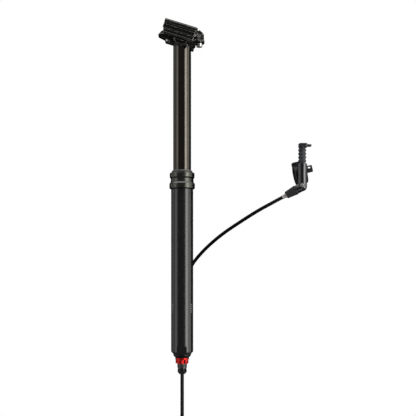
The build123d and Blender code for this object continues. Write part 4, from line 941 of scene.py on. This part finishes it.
@dataclass
class Hose:
    """The hydraulic hose: down from the connector, round its coil and up to the remote.

    Its length is in metres, unlike its other sizes, and is not used.
    """

    diameter: float = 5.0
    exit_z: float = -258.1
    coil_z: float = -372.0
    coil_r: float = 39.5
    coil_step: float = 5.5
    half_turns: int = 15
    points_per_half: int = 6
    lead: float = 10.6
    length: float = 1.995
    tie_edge: float = 0.35
    run: tuple[Point, ...] = ((0.0, 0.0, -258.1), (0.0, 0.0, -264.0), (0.0, 0.0, -300.0))
    rise: tuple[Point, ...] = (
        (-5.0, 84.4, -348.0), (-3.0, 83.0, -333.0), (-2.4, 66.0, -298.0), (-1.3, 36.0, -243.0),
        (-0.8, 22.5, -182.0), (0.5, 22.5, -120.0), (40.0, 16.6, -72.5), (100.25, 0.0, -32.74),
        (126.0, 0.0, -18.75), (139.80, 0.0, -11.26))

    def ends(self) -> list[Vector]:
        """The ends of the coil's half turns, which spiral in, step sideways and spiral out."""
        middle = self.half_turns // 2
        spots = []
        for turn in range(self.half_turns + 1):
            inward = turn if turn <= middle else self.half_turns - turn
            sideways = 0.0 if turn <= middle else -self.coil_step
            if turn % 2 == 0:
                place = (inward + (turn > middle)) // 2 * self.coil_step
            else:
                place = 2 * self.coil_r - (inward - 1) // 2 * self.coil_step
            spots.append(Vector((sideways, place, self.coil_z)))
        return spots

    def coil(self) -> list[Vector]:
        """The coil's control points, some to each half turn and none at its ends."""
        spots, points = self.ends(), []
        step_deg = 180 / self.points_per_half
        for turn, (first, last) in enumerate(zip(spots, spots[1:])):
            middle, reach = (first + last) / 2, (last - first) / 2
            radius = abs(reach.y) / math.cos(math.radians(step_deg / 2))
            up = -1 if turn % 2 == 0 else 1
            for step in range(self.points_per_half):
                angle = math.radians(step_deg * (step + 0.5))
                across = first.x + (last.x - first.x) * (1 - math.cos(angle)) / 2
                along = middle.y - math.copysign(radius, reach.y) * math.cos(angle)
                points.append(Vector((across, along, self.coil_z + up * radius * math.sin(angle))))
        return points

    def build(self) -> None:
        """Makes the hose as one cord, with the ties on its coil."""
        coil = self.coil()
        enter, leave = (Vector((end.x, end.y, self.coil_z + self.lead)) for end in (coil[0], coil[-1]))
        points = [*map(Vector, self.run), enter, *coil, leave, *map(Vector, self.rise)]
        curve = bpy.data.curves.new("hose", "CURVE")
        curve.dimensions, curve.bevel_depth, curve.bevel_resolution = "3D", self.diameter / 2 * MM, 4
        curve.use_fill_caps, curve.resolution_u = True, 8
        spline = curve.splines.new("NURBS")
        spline.points.add(len(points) - 1)
        for spot, control in zip(points, spline.points):
            control.co = (*(spot * MM), 1.0)
        spline.order_u = 3
        spline.use_endpoint_u = True
        spline.use_smooth = True
        hose = piece("hose", curve, Finishes.HOSE, Body.LOWER, "hose_lower", "hose_coil", "hose_upper")
        bands = softened("coil_ties", self.tie_edge)
        ties = piece("hose_ties", bands, Finishes.NYLON, Body.LOWER, "coil_ties")


@dataclass
class LowerTube:
    """The lower tube, with its tapered end and two wrench flats."""

    radius: float = 15.45
    length: float = 230.0
    end_r: float = 12.5
    end_h: float = 3.5
    taper_runs: int = 8
    wall: float = 1.6
    base_h: float = 13.5
    neck_r: float = 14.6
    neck_h: float = 13.0
    lip_h: float = 0.6
    flat_depth: float = 1.6
    flat_h: float = 11.6
    flat_end: float = 0.05
    sides: int = 192
    sharp_deg: float = 22.0

    def flats(self, spot: Vector) -> Vector:
        """Cuts the two wrench flats at the tube's foot."""
        if spot.z < self.flat_h - self.length and abs(spot.y) > self.radius - self.flat_depth:
            spot.y = math.copysign(self.radius - self.flat_depth, spot.y)
        return spot

    def build(self) -> None:
        """Makes the tube, with close rings where the flats run out."""
        bore, foot = self.radius - self.wall, -self.length
        end_bore, floor = self.end_r - self.wall, foot + self.base_h
        shares = [run / self.taper_runs for run in range(1, self.taper_runs)]
        taper = [(self.end_r + (self.radius - self.end_r) * share, foot + self.end_h * share, 0.0)
                 for share in shares]
        flat_top = foot + self.flat_h
        corners = [(self.end_r, foot, 0.0), *taper, (self.radius, foot + self.end_h, 0.3),
                   (self.radius, flat_top - self.flat_end, 0.0), (self.radius, flat_top + self.flat_end, 0.0),
                   (self.radius, -self.lip_h, 0.0), (self.radius, 0.0, 0.2), (self.neck_r, 0.0, 0.0),
                   (self.neck_r, self.neck_h, 0.0), (bore, self.neck_h, 0.0), (bore, floor, 0.0),
                   (end_bore, floor, 0.0), (end_bore, foot, 0.0)]
        mesh = smoothed(turned(corners, self.sides, change=self.flats), self.sharp_deg)
        dressed("lower_tube", mesh, Finishes.TUBE_COAT, Body.LOWER)


@dataclass
class Collar:
    """The collar's two bands with the waist between them, and the wiper in its mouth."""

    neck_r: float = 14.62
    neck_top: float = 14.6
    foot_r: float = 15.47
    band_r: float = 17.85
    band_z: Span = (1.4, 7.7)
    slope_r: float = 16.25
    slope_z: float = 9.9
    waist_r: float = 15.95
    waist_z: Span = (12.0, 14.8)
    top_band_r: float = 17.35
    top_band_z: Span = (16.8, 22.4)
    rim_r: float = 16.65
    top: float = 23.1
    mouth_r: float = 14.2
    wiper_foot: float = 14.62
    wiper_r: float = 14.18
    lip_r: float = 12.55
    hollow_r: float = 13.15
    hollow_z: Span = (17.02, 24.2)
    lip_slant: float = 0.6
    dust_ring_r: float = 14.65
    dust_ring_top: float = 24.4
    dust_lip: tuple[Corner, ...] = ((14.25, 24.8, 0.2), (14.35, 25.4, 0.3), (13.7, 26.45, 0.5),
                                    (12.95, 26.6, 0.2), (12.55, 26.2, 0.2))
    sides: int = 144

    def build_collar(self) -> None:
        """Makes the collar with its rounded edges."""
        corners = [(self.neck_r, 0.0, 0.0), (self.foot_r, 0.0, 0.1), (self.band_r, self.band_z[0], 0.5),
                   (self.band_r, self.band_z[1], 0.5), (self.slope_r, self.slope_z, 0.4),
                   (self.waist_r, self.waist_z[0], 0.5), (self.waist_r, self.waist_z[1], 0.5),
                   (self.top_band_r, self.top_band_z[0], 0.4), (self.top_band_r, self.top_band_z[1], 0.45),
                   (self.rim_r, self.top, 0.3), (self.mouth_r, self.top, 0.2),
                   (self.mouth_r, self.neck_top, 0.0), (self.neck_r, self.neck_top, 0.0)]
        dressed("collar", turned(corners, self.sides), Finishes.COLLAR, Body.LOWER)

    def build_wiper(self) -> None:
        """Makes the wiper's rounded dust ring, its lips and its foot in the collar."""
        low, high = self.hollow_z
        corners = [(self.lip_r, self.wiper_foot, 0.0), (self.wiper_r, self.wiper_foot, 0.0),
                   (self.wiper_r, self.top, 0.0), (self.dust_ring_r, self.top, 0.25),
                   (self.dust_ring_r, self.dust_ring_top, 0.4), *self.dust_lip,
                   (self.lip_r, high + self.lip_slant, 0.2), (self.hollow_r, high, 0.0),
                   (self.hollow_r, low, 0.0), (self.lip_r, low - self.lip_slant, 0.0)]
        dressed("wiper_seal", turned(corners, self.sides), Finishes.WIPER, Body.LOWER, "wiper")

    def build(self) -> None:
        """Makes the collar and its wiper."""
        self.build_collar()
        self.build_wiper()


@dataclass
class FootCap:
    """The cap in the lower tube's foot, with its visible rim and the socket for the hose connector."""

    plug_r: float = 10.88
    plug_top: float = -216.5
    rim_r: float = 12.5
    rim_top: float = -230.0
    rim_bend: Corner = (12.0, -232.6, 1.6)
    rim_foot_r: float = 9.8
    rim_low: float = -234.8
    cup_r: float = 5.02
    cup_floor: float = -226.52
    socket_r: float = 4.92
    socket_top: float = -228.3
    bore_r: float = 2.2
    sides: int = 128

    def build(self) -> None:
        """Makes the cap."""
        corners = [(self.cup_r, self.plug_top, 0.0), (self.plug_r, self.plug_top, 0.0),
                   (self.plug_r, self.rim_top, 0.0), (self.rim_r, self.rim_top, 0.1), self.rim_bend,
                   (self.rim_foot_r, self.rim_low, 1.2), (self.socket_r, self.rim_low, 0.2),
                   (self.socket_r, self.socket_top, 0.0), (self.bore_r, self.socket_top, 0.0),
                   (self.bore_r, self.cup_floor, 0.0), (self.cup_r, self.cup_floor, 0.0)]
        dressed("foot_cap", turned(corners, self.sides), Finishes.FOOT, Body.LOWER)


@dataclass
class Connector:
    """The release ring, the hose connector and its nut under the foot."""

    bore_r: float = 1.4
    spigot_r: float = 4.9
    spigot_top: float = -228.32
    body_r: float = 6.6
    top_z: float = -240.1
    bottom_z: float = -249.5
    shoulder_r: float = 5.5
    shoulder_z: float = -250.5
    tip_r: float = 3.6
    tip_z: float = -253.9
    rib_count: int = 36
    rib_thick: float = 0.45
    rib_length: float = 5.2
    rib_sink: float = 0.08
    rib_drop: float = 0.6
    edge: float = 0.3
    sides: int = 96

    def build(self) -> None:
        """Makes the connector's parts."""
        rounded("release_ring", self.edge, Finishes.RED, Body.RELEASE)
        corners = [(self.bore_r, self.spigot_top, 0.0), (self.spigot_r, self.spigot_top, 0.2),
                   (self.spigot_r, self.top_z, 0.0), (self.body_r, self.top_z, 0.3),
                   (self.body_r, self.bottom_z, 0.5), (self.shoulder_r, self.bottom_z, 0.1),
                   (self.shoulder_r, self.shoulder_z, 0.0), (self.tip_r, self.shoulder_z, 0.0),
                   (self.tip_r, self.tip_z, 0.0), (self.bore_r, self.tip_z, 0.0)]
        mesh = turned(corners, self.sides)
        dressed("connector_body", mesh, Finishes.DARK_STEEL, Body.LOWER, "connector")
        middle = Vector((0, 0, (self.top_z + self.bottom_z) / 2 - self.rib_drop))
        knurl = Repeats("connector_knurl", Finishes.DARK_STEEL, {
            "Count": self.rib_count, "Reach": self.body_r - self.rib_sink,
            "Rib radius": self.rib_thick / 2, "Rib length": self.rib_length})
        ribs = knurl.ring(Matrix.Translation(middle * MM))
        piece("connector_ribs", ribs, Finishes.DARK_STEEL, Body.LOWER)
        rounded("hose_nut", self.edge, Finishes.DARK_STEEL, Body.LOWER)


@dataclass
class UpperPost:
    """The stanchion and the forged crown on it."""

    radius: float = 12.5
    wall: float = 1.6
    low: float = -44.0
    high: float = 198.0
    crown_edge: float = 0.45
    sides: int = 160

    def build(self) -> None:
        """Makes the stanchion and the crown."""
        bore = self.radius - self.wall
        corners = [(bore, self.low, 0.3), (self.radius, self.low, 0.4), (self.radius, self.high, 0.15),
                   (bore, self.high, 0.1)]
        dressed("stanchion", turned(corners, self.sides), Finishes.STANCHION, Body.UPPER)
        rounded("crown", self.crown_edge, Finishes.FORGED, Body.UPPER)


@dataclass
class RailClamp:
    """The two-bolt clamp for the saddle's rails."""

    cradle_edge: float = 0.5
    clamp_edge: float = 0.2
    nut_edge: float = 0.25
    washer_edge: float = 0.12

    def build(self) -> None:
        """Makes the cradle, the upper clamp, the barrel nuts and the bolts."""
        rounded("lower_cradle", self.cradle_edge, Finishes.FORGED, Body.CLAMP, "cradle")
        rounded("upper_clamp", self.clamp_edge, Finishes.FORGED, Body.CLAMP)
        for end, nut_body, bolt_body in (("front", Body.FRONT_NUT, Body.FRONT_BOLT),
                                         ("rear", Body.REAR_NUT, Body.REAR_BOLT)):
            rounded(f"{end}_barrel_nut", self.nut_edge, Finishes.BRIGHT_STEEL, nut_body)
            rounded(f"{end}_clamp_bolt", self.nut_edge, Finishes.BRIGHT_STEEL, bolt_body)
            rounded(f"{end}_dome_washer", self.washer_edge, Finishes.DARK_STEEL, bolt_body)


@dataclass
class Remote:
    """The plunger remote on its handlebar clamp."""

    axis_x: float = 168.1
    elbow_z: float = 4.1
    slope_deg: float = 28.5
    boot_low: float = 36.4
    boot_top: float = 58.6
    boot_lap: float = 0.3
    folds: int = 4
    valley_r: float = 4.45
    bulge_r: float = 5.85
    wall: float = 0.7
    cuff_low: float = 1.1
    cuff_top: float = 1.5
    seat_gap: float = 0.02
    boot_sides: int = 96
    press: float = 9.0
    adjuster_tip: float = 25.3
    ferrule_gap: float = 0.3
    ferrule_length: float = 6.6
    head_r: float = 3.2
    head_length: float = 1.6
    sleeve_r: float = 2.7
    crimps: tuple[float, ...] = (2.9, 4.5)
    crimp_depth: float = 0.15
    ferrule_sides: int = 64
    paddle_edge: float = 0.35
    dish_x: float = 0.9
    grip_z: float = 63.72
    grip_count: int = 7
    grip_pitch: float = 1.2
    grip_length: float = 9.4
    grip_thick: float = 0.6

    def way(self) -> Vector:
        """The direction in which the barrel leaves the elbow."""
        turn = math.radians(self.slope_deg)
        return Vector((-math.cos(turn), 0.0, -math.sin(turn)))

    def build_boot(self) -> None:
        """Makes the bellows with rounded folds."""
        first = self.boot_low + self.cuff_low
        pitch = (self.boot_top + self.boot_lap - first - self.cuff_top) / self.folds
        outside = [(self.valley_r, first, 0.25)]
        for fold in range(self.folds):
            crest = first + (fold + 0.5) * pitch
            outside += [(self.bulge_r, crest, 0.55), (self.valley_r, crest + pitch / 2, 0.6)]
        inside = [(radius - self.wall, height, ease) for radius, height, ease in reversed(outside)]
        seat = self.boot_low + self.seat_gap
        corners = [(self.bulge_r - self.wall / 2, seat, 0.2), *outside, (self.valley_r, self.boot_top, 0.2),
                   (self.valley_r - self.wall, self.boot_top, 0.0), *inside,
                   (self.valley_r - self.wall, seat, 0.0)]
        mesh = turned(corners, self.boot_sides, axis_frame((self.axis_x, 0, 0), (0, 0, 1)))
        boot = dressed("boot", mesh, Finishes.BOOT, Body.LOWER)
        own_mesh(boot)

    def build_spring(self) -> None:
        """Makes the return spring from the CAD node's shape."""
        shape = merged("return_spring")
        mesh = smoothed(poured(shape, "return_spring"))
        spring = dressed("return_spring", mesh, Finishes.DARK_STEEL, Body.LOWER)
        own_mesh(spring)

    def build_ferrule(self) -> None:
        """Makes the hose's metal end, with two crimp rings pressed into it."""
        neck_r = self.sleeve_r - self.crimp_depth
        dip = ((self.sleeve_r, 0.0), (neck_r, 0.2), (neck_r, 0.6), (self.sleeve_r, 0.8))
        crimps = [(radius, start + along, 0.1) for start in self.crimps for radius, along in dip]
        corners = [(0.0, 0.0, 0.0), (self.head_r, 0.0, 0.25), (self.head_r, self.head_length, 0.25),
                   (self.sleeve_r, self.head_length + 0.1, 0.1), *crimps,
                   (self.sleeve_r, self.ferrule_length, 0.2), (0.0, self.ferrule_length, 0.0)]
        way = self.way()
        base = Vector((self.axis_x, 0, self.elbow_z)) + way * (self.adjuster_tip + self.ferrule_gap)
        mesh = turned(corners, self.ferrule_sides, axis_frame(tuple(base), way))
        dressed("hose_ferrule", mesh, Finishes.ALUMINIUM, Body.LOWER, "ferrule")

    def build_paddle(self) -> None:
        """Makes the thumb paddle, with grip ribs across its dish."""
        rounded("thumb_paddle", self.paddle_edge, Finishes.NYLON, Body.PLUNGER, "paddle")
        half_row = (self.grip_count - 1) / 2 * self.grip_pitch
        first = Vector((self.axis_x + self.dish_x - half_row, 0.0, self.grip_z)) * MM
        grip = Repeats("paddle_grip", Finishes.NYLON, {
            "Count": self.grip_count, "Reach": self.grip_pitch,
            "Rib radius": self.grip_thick / 2, "Rib length": self.grip_length})
        piece("paddle_ribs", grip.row(Matrix.Translation(first)), Finishes.NYLON, Body.PLUNGER)

    def build(self) -> None:
        """Makes the whole remote."""
        plan = (("remote_body", 0.3, Finishes.GLOSS, Body.LOWER),
                ("bleed_screw", 0.15, Finishes.BRIGHT_STEEL, Body.LOWER),
                ("bar_clamp", 0.3, Finishes.NYLON, Body.LOWER),
                ("bar_screw", 0.2, Finishes.DARK_STEEL, Body.LOWER),
                ("speed_adjuster", 0.2, Finishes.NYLON, Body.ADJUSTER))
        for node, edge, finish, body in plan:
            rounded(node, edge, finish, body)
        self.build_boot()
        self.build_spring()
        self.build_ferrule()
        self.build_paddle()


@dataclass
class Inside:
    """What works inside the post and the remote, kept as it was drawn and given its finish."""

    groups: tuple[tuple[Finish, tuple[str, ...]], ...] = (
        (Finishes.BUSHING, ("upper_bushing", "lower_bushing", "plunger_bush")),
        (Finishes.ALUMINIUM, ("seal_head", "main_piston", "floating_piston", "cartridge_tube",
                              "master_piston")),
        (Finishes.SEAL, ("shaft_seal", "main_piston_seals", "floating_piston_seal", "stem_seal",
                         "master_piston_seals", "bottom_bumper", "top_out_bumper")),
        (Finishes.SHAFT, ("cartridge_shaft", "poppet_valve", "plunger_rod")),
        (Finishes.DARK_STEEL, ("retaining_ring", "shaft_locknut")),
        (Finishes.BRASS, ("guide_keys", "hose_barb", "air_valve")),
        (Finishes.NYLON, ("valve_cap",)))

    def build(self) -> None:
        """Gives every node that still shows its finish."""
        for finish, names in self.groups:
            for name in names:
                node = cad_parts[name]
                node.data.materials.clear()
                node.data.materials.append(finish.material())
                log.info("%s keeps its own shape", name)


def main() -> None:
    """Builds the studio and the seatpost."""
    logging.basicConfig(level=logging.INFO, format="%(name)s: %(message)s")
    for part in (Studio(), Hose(), LowerTube(), Collar(), FootCap(), Connector(), UpperPost(), RailClamp(),
                 Remote(), Inside()):
        log.info("building %s", type(part).__name__)
        part.build()


if __name__ == "__main__":
    main()
